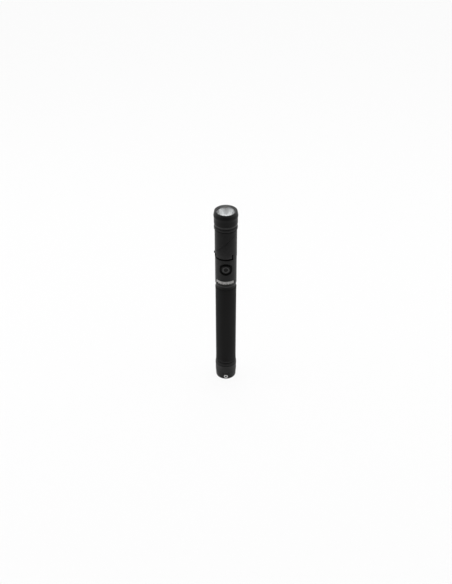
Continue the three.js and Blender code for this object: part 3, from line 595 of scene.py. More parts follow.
def surface(tree, shader, colour, roughness, height=None, strength=0.0, depth=0.0):
    """Links a shader's colour and roughness, and a height that tilts its normal."""
    tree.links.new(colour, shader.inputs["Base Color"])
    tree.links.new(roughness, shader.inputs["Roughness"])
    if height is not None:
        tilt = add(tree, "ShaderNodeBump", Strength=strength, Distance=depth, Height=height)
        tree.links.new(tilt.outputs["Normal"], shader.inputs["Normal"])


def grey(value, warm=0.0):
    """A near neutral colour."""
    return (value * (1 + warm), value, value * (1 - warm), 1)


def tone_band(tone, low, high, rough=0.4, metal=0.0, limit=ANYWHERE):
    """Values for a band of another tone."""
    return {"Band": grey(tone), "Band_Roughness": rough, "Band_Metal": metal, "Low": low, "High": high,
            "Limit": limit}


def knurl_shade_and_sheen(root, crest, radius):
    """Values for a knurl on a wall of a given radius: painted shade at its root, and a lighter crest that is
    partly wear and partly painted highlight.
    """
    return {"Root": grey(root), "Crest": grey(crest), "Radius": radius, "Depth": KNURL_DEPTH}


def black_wear_and_painted_light(name, dark, light, smooth, rough, edge_tone, gloss, amount=0.5, bands=(), crest=None):
    """Black finish with grain, mottling and edges rubbed lighter, which are also painted highlights, and with
    bands of other tones over it, most of them painted shade and painted highlights.
    """
    material, tree, shader = new_material(name, Metallic=0.0, Specular_IOR_Level=gloss)
    grain = grain_on(tree, grey(dark), grey(light), smooth, rough, BLASTED)
    edges_worn_and_lit = place_group(
        tree, EDGE_WEAR_AND_SHEEN, Colour=grain["Colour"], Worn=grey(edge_tone), Roughness=grain["Roughness"], Amount=amount)
    colour, roughness, metal = edges_worn_and_lit["Colour"], edges_worn_and_lit["Roughness"], 0.0
    if crest:
        colour = place_group(tree, CREST, Colour=colour, **crest)["Colour"]
    for values in bands:
        band = place_group(tree, BAND, Colour=colour, Roughness=roughness, Metal=metal, **values)
        colour, roughness, metal = band["Colour"], band["Roughness"], band["Metal"]
    if any(values["Band_Metal"] for values in bands):
        tree.links.new(metal, shader.inputs["Metallic"])
    surface(tree, shader, colour, roughness, grain["Height"], strength=0.25, depth=0.02 * MM)
    return material


def turned_metal(name, dark, light, smooth, rough, pitch, strength=0.3, metallic=1.0, gloss=0.5):
    """Metal with the marks of the lathe."""
    material, tree, shader = new_material(name, Metallic=metallic, Specular_IOR_Level=gloss)
    lines = place_group(tree, LATHE, Pitch=pitch)
    grain = grain_on(tree, dark, light, smooth, rough, MACHINED)
    surface(tree, shader, grain["Colour"], grain["Roughness"], lines["Height"], strength, depth=0.01 * MM)
    return material


def grained(name, dark, light, smooth, rough, scale, gloss=0.5, strength=0.15, depth=0.02 * MM):
    """Rubber, plastic or paint, with a little variation of colour and gloss and a fine grain."""
    material, tree, shader = new_material(name, Metallic=0.0, Specular_IOR_Level=gloss)
    grain = grain_on(tree, dark, light, smooth, rough, scale)
    surface(tree, shader, grain["Colour"], grain["Roughness"], grain["Height"], strength, depth)
    return material


def circuit_material():
    """Green solder mask with lighter tracks under it and small tinned pads."""
    material, tree, shader = new_material("circuit_board", Metallic=0.0, Specular_IOR_Level=0.5)
    cells = add(tree, "ShaderNodeTexVoronoi", distance="CHEBYCHEV", Vector=object_place(tree), Scale=650.0)
    tracks = spread(tree, cells.outputs["Distance"], 0.3, 0.34)
    pads = spread(tree, cells.outputs["Distance"], 0.07, 0.09, 1.0, 0.0)
    mask = blend_colours(tree, tracks, (0.02, 0.13, 0.06, 1), (0.035, 0.22, 0.1, 1))
    colour = blend_colours(tree, pads, mask, (0.55, 0.55, 0.52, 1))
    rough = spread(tree, pads, 0.0, 1.0, 0.45, 0.3)
    surface(tree, shader, colour, rough, tracks, strength=0.3, depth=0.02 * MM)
    return material


def wrap_material():
    """Blue shrink wrap on a cell, faintly creased."""
    material, tree, shader = new_material("cell_wrap", Specular_IOR_Level=0.5)
    creases = noise(tree, scale=300.0, detail=3.0)
    colour = blend_colours(tree, creases, (0.03, 0.12, 0.24, 1), (0.05, 0.18, 0.33, 1))
    rough = spread(tree, creases, 0.3, 0.7, 0.28, 0.45)
    surface(tree, shader, colour, rough, creases, strength=0.2, depth=0.05 * MM)
    return material


def mirror_material():
    """Smooth plated mirror with a faint haze, duller towards its rim."""
    material, tree, shader = new_material("reflector", Metallic=1.0)
    haze = noise(tree, scale=900.0, detail=3.0)
    _, height = polar(tree)
    depth = spread(tree, height, MIRROR_BRIGHT_Z, MIRROR_DULL_Z, 1.0, 0.0)
    bright = blend_colours(tree, haze, (0.93, 0.93, 0.94, 1), (0.96, 0.96, 0.97, 1))
    dull = blend_colours(tree, haze, (0.58, 0.58, 0.59, 1), (0.64, 0.64, 0.65, 1))
    colour = blend_colours(tree, depth, dull, bright)
    rough = spread(tree, haze, 0.3, 0.7, 0.28, 0.4)
    surface(tree, shader, colour, rough, haze, strength=0.12, depth=0.02 * MM)
    return material


def glass_material(name, tint, rough):
    """Clear glass or silicone with a faint smear in its gloss."""
    material, tree, shader = new_material(name, Metallic=0.0, Transmission_Weight=1.0, IOR=1.48)
    smear = noise(tree, scale=220.0, detail=2.0)
    colour = blend_colours(tree, smear, tint, (1.0, 1.0, 1.0, 1))
    surface(tree, shader, colour, spread(tree, smear, 0.4, 0.7, 0.0, rough))
    return material


# Painted shade at the ridge's foot, a painted highlight on the ridge's upper face, and painted shade on the
# skirt's inner walls in its slots, slit and relief.
black_anodised = black_wear_and_painted_light(
    "black_anodised", dark=0.004, light=0.008, smooth=0.34, rough=0.46, edge_tone=0.05, gloss=0.13,
    bands=[tone_band(0.0005, RIDGE_SHADE_LOW, RIDGE_SHADE_HIGH, rough=DULL),
           tone_band(0.016, RIDGE_SHINE_LOW, RIDGE_SHINE_HIGH),
           tone_band(0.0005, JOINT_Z, JOINT_Z + SKIRT_REACH, rough=DULL, limit=HEAD_RADIUS - FINE_EDGE)])
# Painted highlights on the foot bevel and round the outside of the rim.
bezel_black = black_wear_and_painted_light(
    "bezel_black", dark=0.004, light=0.007, smooth=0.32, rough=0.44, edge_tone=0.05, gloss=0.12,
    bands=[tone_band(0.026, BEZEL_BOTTOM + GAP, FOOT_BEVEL_HIGH, rough=0.38),
           tone_band(0.015, LIP_Z, RIM_Z + MM),
           tone_band(0.07, LIP_Z, RIM_Z, metal=1.0, limit=MOUTH_LIMIT)])
# A painted highlight on the bottom bevel, and painted shade in the button's recess.
housing_black = black_wear_and_painted_light(
    "housing_black", dark=0.006, light=0.011, smooth=0.36, rough=0.48, edge_tone=0.06, gloss=0.16,
    bands=[tone_band(0.045, HOUSING_BOTTOM, HOUSING_BOTTOM + HOUSING_BEVEL),
           tone_band(0.004, BUTTON_Z - RECESS_REACH, BUTTON_Z + RECESS_REACH, rough=DULL,
                     limit=HOUSING_RADIUS - FINE_EDGE)])
# A near black copy of the anodised finish that paints the shade on the collar seen through the head's gaps,
# and inside the eyelet's bore.
painted_shade_black = black_wear_and_painted_light(
    "painted_shade_black", dark=0.001, light=0.002, smooth=0.6, rough=0.7, edge_tone=0.003, gloss=0.01, amount=0.2)
# Painted shade in the groove and at the knurl's roots, and knurl crests lighter as wear and painted
# highlight.
tail_black = black_wear_and_painted_light(
    "tail_black", dark=0.005, light=0.01, smooth=0.34, rough=0.46, edge_tone=0.06, gloss=0.18,
    bands=[tone_band(0.001, GROOVE_LOW - GROOVE_MARGIN, GROOVE_HIGH + GROOVE_MARGIN, rough=DULL,
                     limit=BAND_RADIUS - 2 * GROOVE_MARGIN)],
    crest=knurl_shade_and_sheen(0.001, 0.03, BAND_RADIUS))
# Painted highlights on the grip's lower and upper rims, painted shade on the spigot in the gap over the tail
# cap and at the knurl's roots, and knurl crests lighter as wear and painted highlight.
knurled_black = black_wear_and_painted_light(
    "knurled_black", dark=0.001, light=0.002, smooth=0.36, rough=0.5, edge_tone=0.02, gloss=0.04, amount=0.3,
    bands=[tone_band(0.036, GRIP_BOTTOM, GRIP_KNURL_LOW - KNURL_RUNOUT, rough=0.42),
           tone_band(0.011, GRIP_KNURL_HIGH, GRIP_TOP + MM, rough=0.42),
           tone_band(0.001, THREAD_END, GRIP_BOTTOM, rough=DULL),
           tone_band(0.024, SPIGOT_BOTTOM - MM, THREAD_END)],
    crest=knurl_shade_and_sheen(0.0, 0.037, GRIP_RADIUS))
neck_black = turned_metal(
    "neck_black", grey(0.004), grey(0.008), smooth=0.32, rough=0.44, pitch=0.25 * MM, strength=0.4,
    metallic=0.0, gloss=0.12)
pin_black = black_wear_and_painted_light(
    "pin_black", dark=0.002, light=0.004, smooth=0.5, rough=0.6, edge_tone=0.01, gloss=0.01, amount=0.4)
rim_grey = black_wear_and_painted_light("rim_grey", dark=0.03, light=0.045, smooth=0.3, rough=0.45, edge_tone=0.09, gloss=0.3)
nickel = turned_metal("nickel", grey(0.45, 0.01), grey(0.56, 0.01), smooth=0.18, rough=0.32, pitch=0.2 * MM)
brass = turned_metal(
    "brass", (0.5, 0.37, 0.14, 1), (0.66, 0.5, 0.2, 1), smooth=0.25, rough=0.4, pitch=0.2 * MM)
steel = turned_metal("steel", grey(0.45), grey(0.58), smooth=0.22, rough=0.36, pitch=0.15 * MM)
rubber = grained(
    "black_rubber", grey(0.005), grey(0.009), smooth=0.52, rough=0.68, scale=5000.0, gloss=0.2,
    strength=0.35, depth=0.03 * MM)
plastic = grained(
    "black_plastic", grey(0.012), grey(0.02), smooth=0.42, rough=0.58, scale=3500.0, gloss=0.35,
    strength=0.35)
circuit = circuit_material()
cell_wrap = wrap_material()
mirror = mirror_material()
lens_glass_look = glass_material("lens_glass", (0.95, 0.98, 0.98, 1), rough=0.03)
dome_clear = glass_material("dome_clear", (0.98, 0.96, 0.9, 1), rough=0.05)
white_board = grained("white_board", grey(0.72), grey(0.82), smooth=0.35, rough=0.5, scale=3000.0)
ceramic = grained("led_ceramic", grey(0.6, 0.02), grey(0.7, 0.02), smooth=0.4, rough=0.55, scale=4000.0)
phosphor = grained(
    "phosphor", (0.75, 0.55, 0.08, 1), (0.9, 0.7, 0.14, 1), smooth=0.5, rough=0.65, scale=5000.0)
pale_ink = grained("pale_ink", grey(0.66, 0.02), grey(0.8, 0.02), smooth=0.5, rough=0.65, scale=6000.0)


# Tail

FOOT_ROUND = 0.8 * MM
FOOT_HEIGHT = 8 * MM
FOOT_SWELL = 0.25 * MM
FOOT_BEND = 0.2 * MM
BAND_LOW = 8.9 * MM
BAND_HIGH = 18.9 * MM
BAND_STEP = 0.4 * MM
GROOVE_RADIUS = CAP_RADIUS - 0.5 * MM
GROOVE_SLOPE = 0.2 * MM
CAP_EDGE_RADIUS = 12.75 * MM
CAP_FLOOR = 9 * MM
CAP_THREAD_DEPTH = 0.16 * MM
CAP_THREAD_TURNS = 4.5
PLATE_ROOM = 10.2 * MM
BUSH_HOLE = BUSH_RADIUS + 0.08 * MM
BUSH_BORE = 1.2 * MM
BUSH_LIP = 0.55 * MM
LINER_HALF = 0.05 * MM


def tail_shell():
    """Tail cap: rounded foot, knurled band, groove, taper, a hole for the bush and a female thread."""
    root = BAND_RADIUS - KNURL_DEPTH
    step = SPIGOT_BOTTOM - GAP
    below = rings_of([
        (0, 0), (GRIP_RADIUS, 0, FOOT_ROUND), (GRIP_RADIUS + FOOT_SWELL, FOOT_HEIGHT),
        (BAND_RADIUS, BAND_LOW - KNURL_RUNOUT), (root, BAND_LOW)], sides=KNURL_SIDES, bend=FOOT_BEND)
    above = rings_of([
        (root, BAND_HIGH), (CAP_RADIUS, BAND_HIGH + BAND_STEP), (CAP_RADIUS, GROOVE_LOW - GROOVE_SLOPE),
        (GROOVE_RADIUS, GROOVE_LOW), (GROOVE_RADIUS, GROOVE_HIGH),
        (BAND_RADIUS, GROOVE_HIGH + GROOVE_SLOPE), (CAP_EDGE_RADIUS, CAP_TOP), (CAP_BORE, CAP_TOP),
        (CAP_BORE, step), (PLATE_ROOM, step), (PLATE_ROOM, CAP_FLOOR), (0, CAP_FLOOR)], sides=KNURL_SIDES)
    bm = knurled(below, above, False, BAND_LOW, BAND_HIGH, BAND_RADIUS)
    hole = tube(0, BUSH_HOLE, -2 * GRIP_RADIUS, 2 * GRIP_RADIUS)
    tool = aimed(turned(hole, closed=False, sides=SMALL_SIDES, bend=0), 0, BUSH_Z)
    make_piece("tail_shell", bm, tail_black, "tail_end", "black_anodised", "tail_cap", cuts=[tool])
    first = SPIGOT_BOTTOM + THREAD_PITCH
    ridge = thread(CAP_BORE, -CAP_THREAD_DEPTH, first, CAP_THREAD_TURNS, start=math.pi)
    make_piece("cap_thread", ridge, tail_black, "tail_end", "black_anodised")


def bush_tube(inner, outer, half, bend):
    """A tube that lies across the tail."""
    return aimed(turned(tube(inner, outer, -half, half), sides=SMALL_SIDES, bend=bend), 0, BUSH_Z)


def eyelet():
    """Bright bush through the tail with rolled ends, and a near black liner in its bore that paints the shade
    inside it.
    """
    bm = bush_tube(BUSH_BORE, BUSH_RADIUS, BUSH_HALF, BUSH_LIP)
    make_piece("eyelet", bm, nickel, "tail_end", "nickel", "lanyard_bush")
    bore_shade = bush_tube(BUSH_BORE - LINER_HALF, BUSH_BORE + LINER_HALF, BUSH_HALF - BUSH_LIP, 0)
    make_piece("eyelet_bore_shade", bore_shade, painted_shade_black, "tail_end", "nickel")


# Grip

GRIP_END_BEVEL = 0.3 * MM
GRIP_BEVEL = 0.6 * MM
GRIP_BEVEL_HEIGHT = 0.9 * MM
GRIP_LIP_HEIGHT = 1.6 * MM
COUNTERBORE = 11.45 * MM
COUNTERBORE_BOTTOM = HOUSING_SPIGOT_BOTTOM - GAP
THREAD_ROOT = SPIGOT_RADIUS - 0.35 * MM
THREAD_RUN_IN = 0.6
THREAD_SPARE = 1.4
SEAL_FLOOR = 10.6 * MM
SEAL_SLACK = 0.1 * MM
MOULD_LINE = 0.03 * MM
NECK_GROOVES = 3
NECK_GROOVE_DEPTH = 0.12 * MM
NECK_GROOVE_HALF = 0.14 * MM
NECK_BEND = 0.06 * MM


def grip_tube():
    """Knurled tube with a seal groove, and a male thread on its spigot."""
    root = GRIP_RADIUS - KNURL_DEPTH
    seal_low = SEAL_BOTTOM - SEAL_SLACK
    seal_high = SEAL_TOP + SEAL_SLACK
    below = rings_of([
        (GRIP_BORE, SPIGOT_BOTTOM), (THREAD_ROOT, SPIGOT_BOTTOM),
        (THREAD_ROOT, SEAL_BOTTOM - 3 * SEAL_SLACK), (SPIGOT_RADIUS, SEAL_BOTTOM - 2 * SEAL_SLACK),
        (SPIGOT_RADIUS, seal_low), (SEAL_FLOOR, seal_low), (SEAL_FLOOR, seal_high),
        (SPIGOT_RADIUS, seal_high), (SPIGOT_RADIUS, GRIP_BOTTOM),
        (GRIP_RADIUS - GRIP_END_BEVEL, GRIP_BOTTOM), (GRIP_RADIUS, GRIP_BOTTOM + GRIP_END_BEVEL),
        (GRIP_RADIUS, GRIP_KNURL_LOW - KNURL_RUNOUT), (root, GRIP_KNURL_LOW)], sides=KNURL_SIDES)
    above = rings_of([
        (root, GRIP_KNURL_HIGH), (GRIP_RADIUS, GRIP_KNURL_HIGH + KNURL_RUNOUT),
        (GRIP_LIP_RADIUS, GRIP_TOP - GRIP_LIP_HEIGHT), (GRIP_LIP_RADIUS, GRIP_TOP - GRIP_BEVEL_HEIGHT),
        (GRIP_LIP_RADIUS - GRIP_BEVEL, GRIP_TOP), (COUNTERBORE, GRIP_TOP),
        (COUNTERBORE, COUNTERBORE_BOTTOM), (GRIP_BORE, COUNTERBORE_BOTTOM)], sides=KNURL_SIDES)
    bm = knurled(below, above, True, GRIP_KNURL_LOW, GRIP_KNURL_HIGH, GRIP_RADIUS)
    make_piece("grip_tube", bm, knurled_black, "handle", "black_knurled", "battery_tube")
    turns = (SEAL_BOTTOM - SPIGOT_BOTTOM) / THREAD_PITCH - THREAD_SPARE
    first = SPIGOT_BOTTOM + THREAD_PITCH * THREAD_RUN_IN
    ridge = thread(THREAD_ROOT, SPIGOT_RADIUS - THREAD_ROOT, first, turns)
    make_piece("spigot_thread", ridge, knurled_black, "handle", "black_knurled")


def tail_seal():
    """Rubber ring, round in section with a thin mould line."""
    section = (SEAL_TOP - SEAL_BOTTOM) / 2
    middle = (SEAL_TOP + SEAL_BOTTOM) / 2
    centre = SEAL_RADIUS - section
    edge = centre + section + MOULD_LINE
    points = arc(centre, middle, section, start=10, end=350, steps=16)
    points += [(edge, middle - MOULD_LINE), (edge, middle + MOULD_LINE)]
    make_piece("tail_seal", turned(points, bend=0), rubber, "handle", "black_rubber", "tail_oring")


def neck_band():
    """Turned ring in the neck, with shallow grooves."""
    points = [(COUNTERBORE, NECK_BOTTOM), (NECK_RADIUS, NECK_BOTTOM)]
    spacing = (NECK_TOP - NECK_BOTTOM) / (NECK_GROOVES + 1)
    for n in range(NECK_GROOVES):
        middle = NECK_BOTTOM + (n + 1) * spacing
        points += [(NECK_RADIUS, middle - NECK_GROOVE_HALF), (NECK_RADIUS - NECK_GROOVE_DEPTH, middle)]
        points += [(NECK_RADIUS, middle + NECK_GROOVE_HALF)]
    points += [(NECK_RADIUS, NECK_TOP), (COUNTERBORE, NECK_TOP)]
    bm = turned(points, bend=NECK_BEND)
    make_piece("neck_band", bm, neck_black, "handle", "black_turned", "neck_ring")


# Switch section

WINDOW_STEPS = 24
HOUSING_SPIGOT_RADIUS = 11.2 * MM
HOUSING_FOOT_RADIUS = HOUSING_RADIUS - 0.6 * MM
HOUSING_BEND = 0.3 * MM
BORE_STEP_LOW = HOUSING_BOTTOM + 4.5 * MM
BORE_STEP_HIGH = HOUSING_BOTTOM + 5 * MM
RECESS_EDGE = 0.35 * MM
RECESS_EDGE_STEPS = 6
RECESS_EDGE_SWING = 16
RECESS_BEND = 0.3 * MM
RECESS_CURVE = ((0, 1), (0.1, 0.3), (0.4, 0.05), (1, 0))
HOLE_CURVE = ((1, 0), (0.1, 0.2), (0, 1))
BRINK_MARGINS = (1.0 * MM, 0.4 * MM)
BACK_RING = 7.2 * MM
COLLAR_OVERLAP = 0.2 * MM


def round_opening(bm, loop, radius, rings, floor=0.0):
    """Fills the window between a loop of vertices on a round wall and rings about the button's axis.

    Each ring is (distance from that axis, depth under the wall, or else a level from the long axis).
    A depth ends at the floor, and a level never stands out of the wall.
    """
    turns = []
    for vert in loop:
        across = math.atan2(vert.co.x, -vert.co.y) * radius
        turns.append(math.atan2(vert.co.z - BUTTON_Z, across))
    before = loop
    for away, depth, flat in rings:
        here = []
        for turn in turns:
            x = away * math.cos(turn)
            wall = math.sqrt(radius ** 2 - x ** 2)
            y = min(flat, wall) if flat else max(wall - depth, min(floor, wall))
            here.append(bm.verts.new((x, -y, BUTTON_Z + away * math.sin(turn))))
        bridge(bm, before, here)
        before = here
    return before


def window_loop(rings, order, columns):
    """Vertices round a window in a grid of rings, from its lower edge and all the way round."""
    low = [rings[order[0]][k] for k in columns]
    high = [rings[order[-1]][k] for k in columns]
    right = [rings[i][columns[-1]] for i in order[1:-1]]
    left = [rings[i][columns[0]] for i in order[1:-1]]
    return low + right + high[::-1] + left[::-1]


def recess_rings(floor):
    """Rings down from the recess's brink to the hole in its floor."""
    bend = RECESS_BEND
    rings = [(RECESS_RADIUS + RECESS_EDGE + margin, 0, 0) for margin in BRINK_MARGINS]
    for n in range(RECESS_EDGE_STEPS):
        swing = math.radians(RECESS_EDGE_SWING * n)
        away = RECESS_RADIUS + RECESS_EDGE * (1 - math.sin(swing))
        rings.append((away, RECESS_EDGE * (1 - math.cos(swing)), 0))
    rings += [(RECESS_RADIUS - inward * bend, 0, floor + up * bend) for inward, up in RECESS_CURVE]
    rings += [(BUTTON_HOLE + out * bend, 0, floor - down * bend) for out, down in HOLE_CURVE]
    return rings


def switch_shell():
    """Housing with a deep round recess, a spigot for the grip, and a collar that the head turns on, painted
    near black as shade in the gaps round it.
    """
    step = FULL_TURN / ROUND_SIDES * HOUSING_RADIUS
    half = WINDOW_STEPS / 2 * step
    rows = [BUTTON_Z - half + step * n for n in range(WINDOW_STEPS + 1)]
    outside = rings_of([
        (GRIP_BORE, HOUSING_SPIGOT_BOTTOM), (HOUSING_SPIGOT_RADIUS, HOUSING_SPIGOT_BOTTOM),
        (HOUSING_SPIGOT_RADIUS, HOUSING_BOTTOM), (HOUSING_FOOT_RADIUS, HOUSING_BOTTOM),
        (HOUSING_RADIUS, HOUSING_BOTTOM + HOUSING_BEVEL, HOUSING_BEND), (HOUSING_RADIUS, rows[0])])
    collar = rings_of([
        (HOUSING_RADIUS, rows[-1]), (HOUSING_RADIUS, JOINT_Z, JOINT_EDGE), (COLLAR_BORE, JOINT_Z),
        (COLLAR_BORE, rows[-1])])
    bore = rings_of([(COLLAR_BORE, rows[0]), (COLLAR_BORE, BORE_STEP_HIGH), (GRIP_BORE, BORE_STEP_LOW)])
    rings = outside + [level(HOUSING_RADIUS, z) for z in rows[1:-1]]
    rings += collar + [level(COLLAR_BORE, z) for z in rows[-2:0:-1]] + bore
    outer_first = len(outside) - 1
    inner_first = outer_first + WINDOW_STEPS + len(collar) - 1
    columns = [k % ROUND_SIDES for k in range(-WINDOW_STEPS // 2, WINDOW_STEPS // 2 + 1)]
    skip = set()
    for first in (outer_first, inner_first):
        skip |= {(first + row, k) for row in range(WINDOW_STEPS) for k in columns[:-1]}
    bm = bmesh.new()
    made = loft(bm, rings, skip=skip)
    floor = HOUSING_RADIUS - RECESS_DEPTH
    upward = [outer_first + n for n in range(WINDOW_STEPS + 1)]
    front = round_opening(
        bm, window_loop(made, upward, columns), HOUSING_RADIUS, recess_rings(floor), floor)
    downward = [inner_first + WINDOW_STEPS - n for n in range(WINDOW_STEPS + 1)]
    back = round_opening(
        bm, window_loop(made, downward, columns), COLLAR_BORE, [(BACK_RING, 0, 0), (BUTTON_HOLE, 0, 0)])
    bridge(bm, front, back)
    make_piece("switch_shell", bm, housing_black, "handle", "black_anodised", "switch_housing")
    # The collar's near black finish paints the shade in the gaps round it.
    joint = turned(tube(COLLAR_BORE, COLLAR_RADIUS, JOINT_Z - COLLAR_OVERLAP, COLLAR_TOP))
    make_piece("joint_collar", joint, painted_shade_black, "handle", "black_anodised")


TICK_COUNT = 15
TICK_WIDTH = 0.75 * MM
TICK_LOW = HOUSING_BOTTOM + 4.4 * MM
TICK_HIGH = HOUSING_BOTTOM + 8.7 * MM
TICK_SHORTER = 1.1 * MM
TICK_FIRST = math.radians(-56)
TICK_LAST = math.radians(42)
TICK_SUNK = 0.05 * MM
TICK_PROUD = 0.03 * MM


def tick_marks():
    """A plain row of printed bars above the neck."""
    bm = bmesh.new()
    half = TICK_WIDTH / 2 / HOUSING_RADIUS
    for n in range(TICK_COUNT):
        middle = TICK_FIRST + (TICK_LAST - TICK_FIRST) * n / (TICK_COUNT - 1)
        low = TICK_LOW if n % 2 == 0 else TICK_LOW + TICK_SHORTER
        corners = [(middle - half, low), (middle, low), (middle + half, low)]
        corners += [(middle + half, TICK_HIGH), (middle, TICK_HIGH), (middle - half, TICK_HIGH)]
        curved_prism(bm, corners, HOUSING_RADIUS - TICK_SUNK, HOUSING_RADIUS + TICK_PROUD)
    make_piece("tick_marks", bm, pale_ink, "handle", "black_anodised")


DISH_RADIUS = 2.6 * MM
DISH_DEPTH = 0.85 * MM
DISH_SLOPE = 0.3 * MM
DISH_SAG = 0.1 * MM
RING_RADIUS = 4.1 * MM
RING_SEAT = BUTTON_RIM - 0.7 * MM
RING_BEND = 0.4 * MM
RING_LIP = 0.15 * MM
SHOULDER_BEND = 0.7 * MM
BUTTON_FLANGE = 0.95 * MM
BUTTON_FLANGE_FRONT = BUTTON_BACK + 0.7 * MM


def button_cap():
    """Rubber button with a round shoulder and a dished middle, and the harder, lighter ring on it."""
    dish = BUTTON_RIM - DISH_DEPTH
    flange = BUTTON_RADIUS + BUTTON_FLANGE
    shoulder = BUTTON_RIM - FINE_EDGE
    profile = [
        (0, BUTTON_BACK), (flange, BUTTON_BACK), (flange, BUTTON_FLANGE_FRONT),
        (BUTTON_RADIUS, BUTTON_FLANGE_FRONT), (BUTTON_RADIUS, shoulder, SHOULDER_BEND),
        (RING_RADIUS, shoulder), (RING_RADIUS, RING_SEAT), (DISH_RADIUS, RING_SEAT),
        (DISH_RADIUS - DISH_SLOPE, dish, DISH_SLOPE), (0, dish - DISH_SAG)]
    bm = aimed(turned(profile, closed=False), 0, BUTTON_Z)
    make_piece("button_cap", bm, rubber, "button", "black_rubber", "switch_button")
    ring = [
        (DISH_RADIUS, RING_SEAT), (RING_RADIUS, RING_SEAT), (RING_RADIUS, BUTTON_RIM, RING_BEND),
        (DISH_RADIUS + RING_BEND, BUTTON_RIM, RING_BEND), (DISH_RADIUS, RING_SEAT + RING_LIP)]
    make_piece("button_rim", aimed(turned(ring), 0, BUTTON_Z), rim_grey, "button", "black_rubber")


# Head

LEFT_PIN = math.radians(-90)
REAR_PIN = math.radians(150)
PIN_ROUND = 0.6 * MM
BAYONET_TURN = math.radians(21)
SLOT_HALF = PIN_RADIUS + 0.2 * MM
SLOT_BEND = 0.5 * MM
SLOT_LOW = JOINT_Z - GAP
SLIT_ANGLE = math.radians(37)
SLIT_HALF = 0.85 * MM
SLIT_TOP = JOINT_Z + 7.2 * MM
SLIT_BEVEL = 0.5 * MM
RELIEF_TOP = JOINT_Z + 2.3 * MM
RELIEF_STEPS = 32
TOOL_RADIUS = SKIRT_BORE - 0.4 * MM
SEAM_HALF = 0.15 * MM
SEAM_EDGE = 0.3 * MM
SEAM_EDGE_SHARES = ((0, 1), (0.1, 0.35), (0.35, 0.1), (1, 0))
WEB = 2.4 * MM
BOLT_HOLE = 5.45 * MM
UPPER_BORE = 10.55 * MM
LEDGE_Z = SHOULDER_Z - 3.1 * MM
RIDGE_APPROACH = 0.6 * MM
RIDGE_RISE = 0.7 * MM
RIDGE_HEIGHT = 2.8 * MM
RIDGE_LOW_BEND = 0.25 * MM
RIDGE_HIGH_BEND = 0.4 * MM
SHOULDER_RADIUS = HEAD_RADIUS + 0.4 * MM


def bayonet_pin(name, node, angle):
    """Round headed pin pressed into the collar."""
    profile = [(0, PIN_FOOT), (PIN_RADIUS, PIN_FOOT), (PIN_RADIUS, PIN_TIP, PIN_ROUND), (0, PIN_TIP)]
    bm = aimed(turned(profile, closed=False, sides=SMALL_SIDES), angle, PIN_Z)
    make_piece(name, bm, pin_black, "handle", "black_steel", node)


def sloped(radius, station):
    """A ring on the round wall, in a plane square to the slanted axis."""
    ring = level(radius, CUT_Z + station * math.sqrt(2))
    return [point + Vector((0, 0, point.x)) for point in ring]


def bolt_ring(radius, station):
    """A ring round the slanted axis."""
    along = Vector((1, 0, 1)).normalized()
    middle = Vector((0, 0, CUT_Z)) + SLANT_AXIS * station
    ring = []
    for k in range(ROUND_SIDES):
        out = outward(FULL_TURN * k / ROUND_SIDES)
        ring.append(middle + along * (out.x * radius) + Vector((0, out.y * radius, 0)))
    return ring


def seam_rings(side, bore):
    """Rings from the wall over the cut's edge and through the bolt hole. side is 1 above the cut."""
    rings = []
    for inward, along in SEAM_EDGE_SHARES:
        rings.append(sloped(HEAD_RADIUS - SEAM_EDGE * inward, side * (SEAM_HALF + SEAM_EDGE * along)))
    face = side * SEAM_HALF
    back = side * (SEAM_HALF + WEB)
    return rings + [bolt_ring(BOLT_HOLE, face), bolt_ring(BOLT_HOLE, back), sloped(bore, back)]


def slot_outline(angle):
    """L slot for a bayonet pin, up from the skirt's edge and then across to where the pin rests."""
    half = SLOT_HALF / SKIRT_BORE
    mouth = angle + BAYONET_TURN
    floor = PIN_Z - SLOT_HALF
    top = PIN_Z + SLOT_HALF
    corners = [
        (mouth + half, SLOT_LOW, 0), (mouth + half, top, SLOT_BEND), (angle - half, top, SLOT_BEND * 2),
        (angle - half, floor, SLOT_BEND * 2), (mouth - half, floor, SLOT_BEND / 2),
        (mouth - half, SLOT_LOW, 0)]
    flat = [(a * SKIRT_BORE, z, r) for a, z, r in corners]
    return [(point.x / SKIRT_BORE, point.y) for point in softened(flat)]


def slit_outline():
    """Narrow slit up from the skirt's edge, with bevelled upper corners."""
    slit = SLIT_HALF / HEAD_RADIUS
    return [
        (SLIT_ANGLE + slit, SLOT_LOW), (SLIT_ANGLE + slit, SLIT_TOP - SLIT_BEVEL),
        (SLIT_ANGLE + slit / 2, SLIT_TOP), (SLIT_ANGLE - slit / 2, SLIT_TOP),
        (SLIT_ANGLE - slit, SLIT_TOP - SLIT_BEVEL), (SLIT_ANGLE - slit, SLOT_LOW)]


def relief_outline():
    """Low relief of the skirt's edge between the left slot and the slit."""
    start = LEFT_PIN + BAYONET_TURN
    span = [start + (SLIT_ANGLE - start) * n / RELIEF_STEPS for n in range(RELIEF_STEPS + 1)]
    return [(a, SLOT_LOW) for a in span] + [(a, RELIEF_TOP) for a in reversed(span)]


def skirt_tool(outline):
    """A cutter through the skirt's wall."""
    bm = bmesh.new()
    curved_prism(bm, outline, TOOL_RADIUS, 2 * HEAD_RADIUS)
    return bm


def head_lower_shell():
    """Lower half of the head, from the slotted skirt up to the slanted cut."""
    room = COLLAR_TOP + GAP
    rings = rings_of([
        (HEAD_BORE, room), (SKIRT_BORE, room), (SKIRT_BORE, SKIRT_BOTTOM),
        (HEAD_RADIUS, SKIRT_BOTTOM, JOINT_EDGE), (HEAD_RADIUS, room)])
    bm = bmesh.new()
    loft(bm, rings + seam_rings(-1, HEAD_BORE))
    outlines = [slot_outline(LEFT_PIN), slot_outline(REAR_PIN), slit_outline(), relief_outline()]
    make_piece("head_lower_shell", bm, black_anodised, "head_lower", "black_anodised", "head_base",
               cuts=[skirt_tool(outline) for outline in outlines])


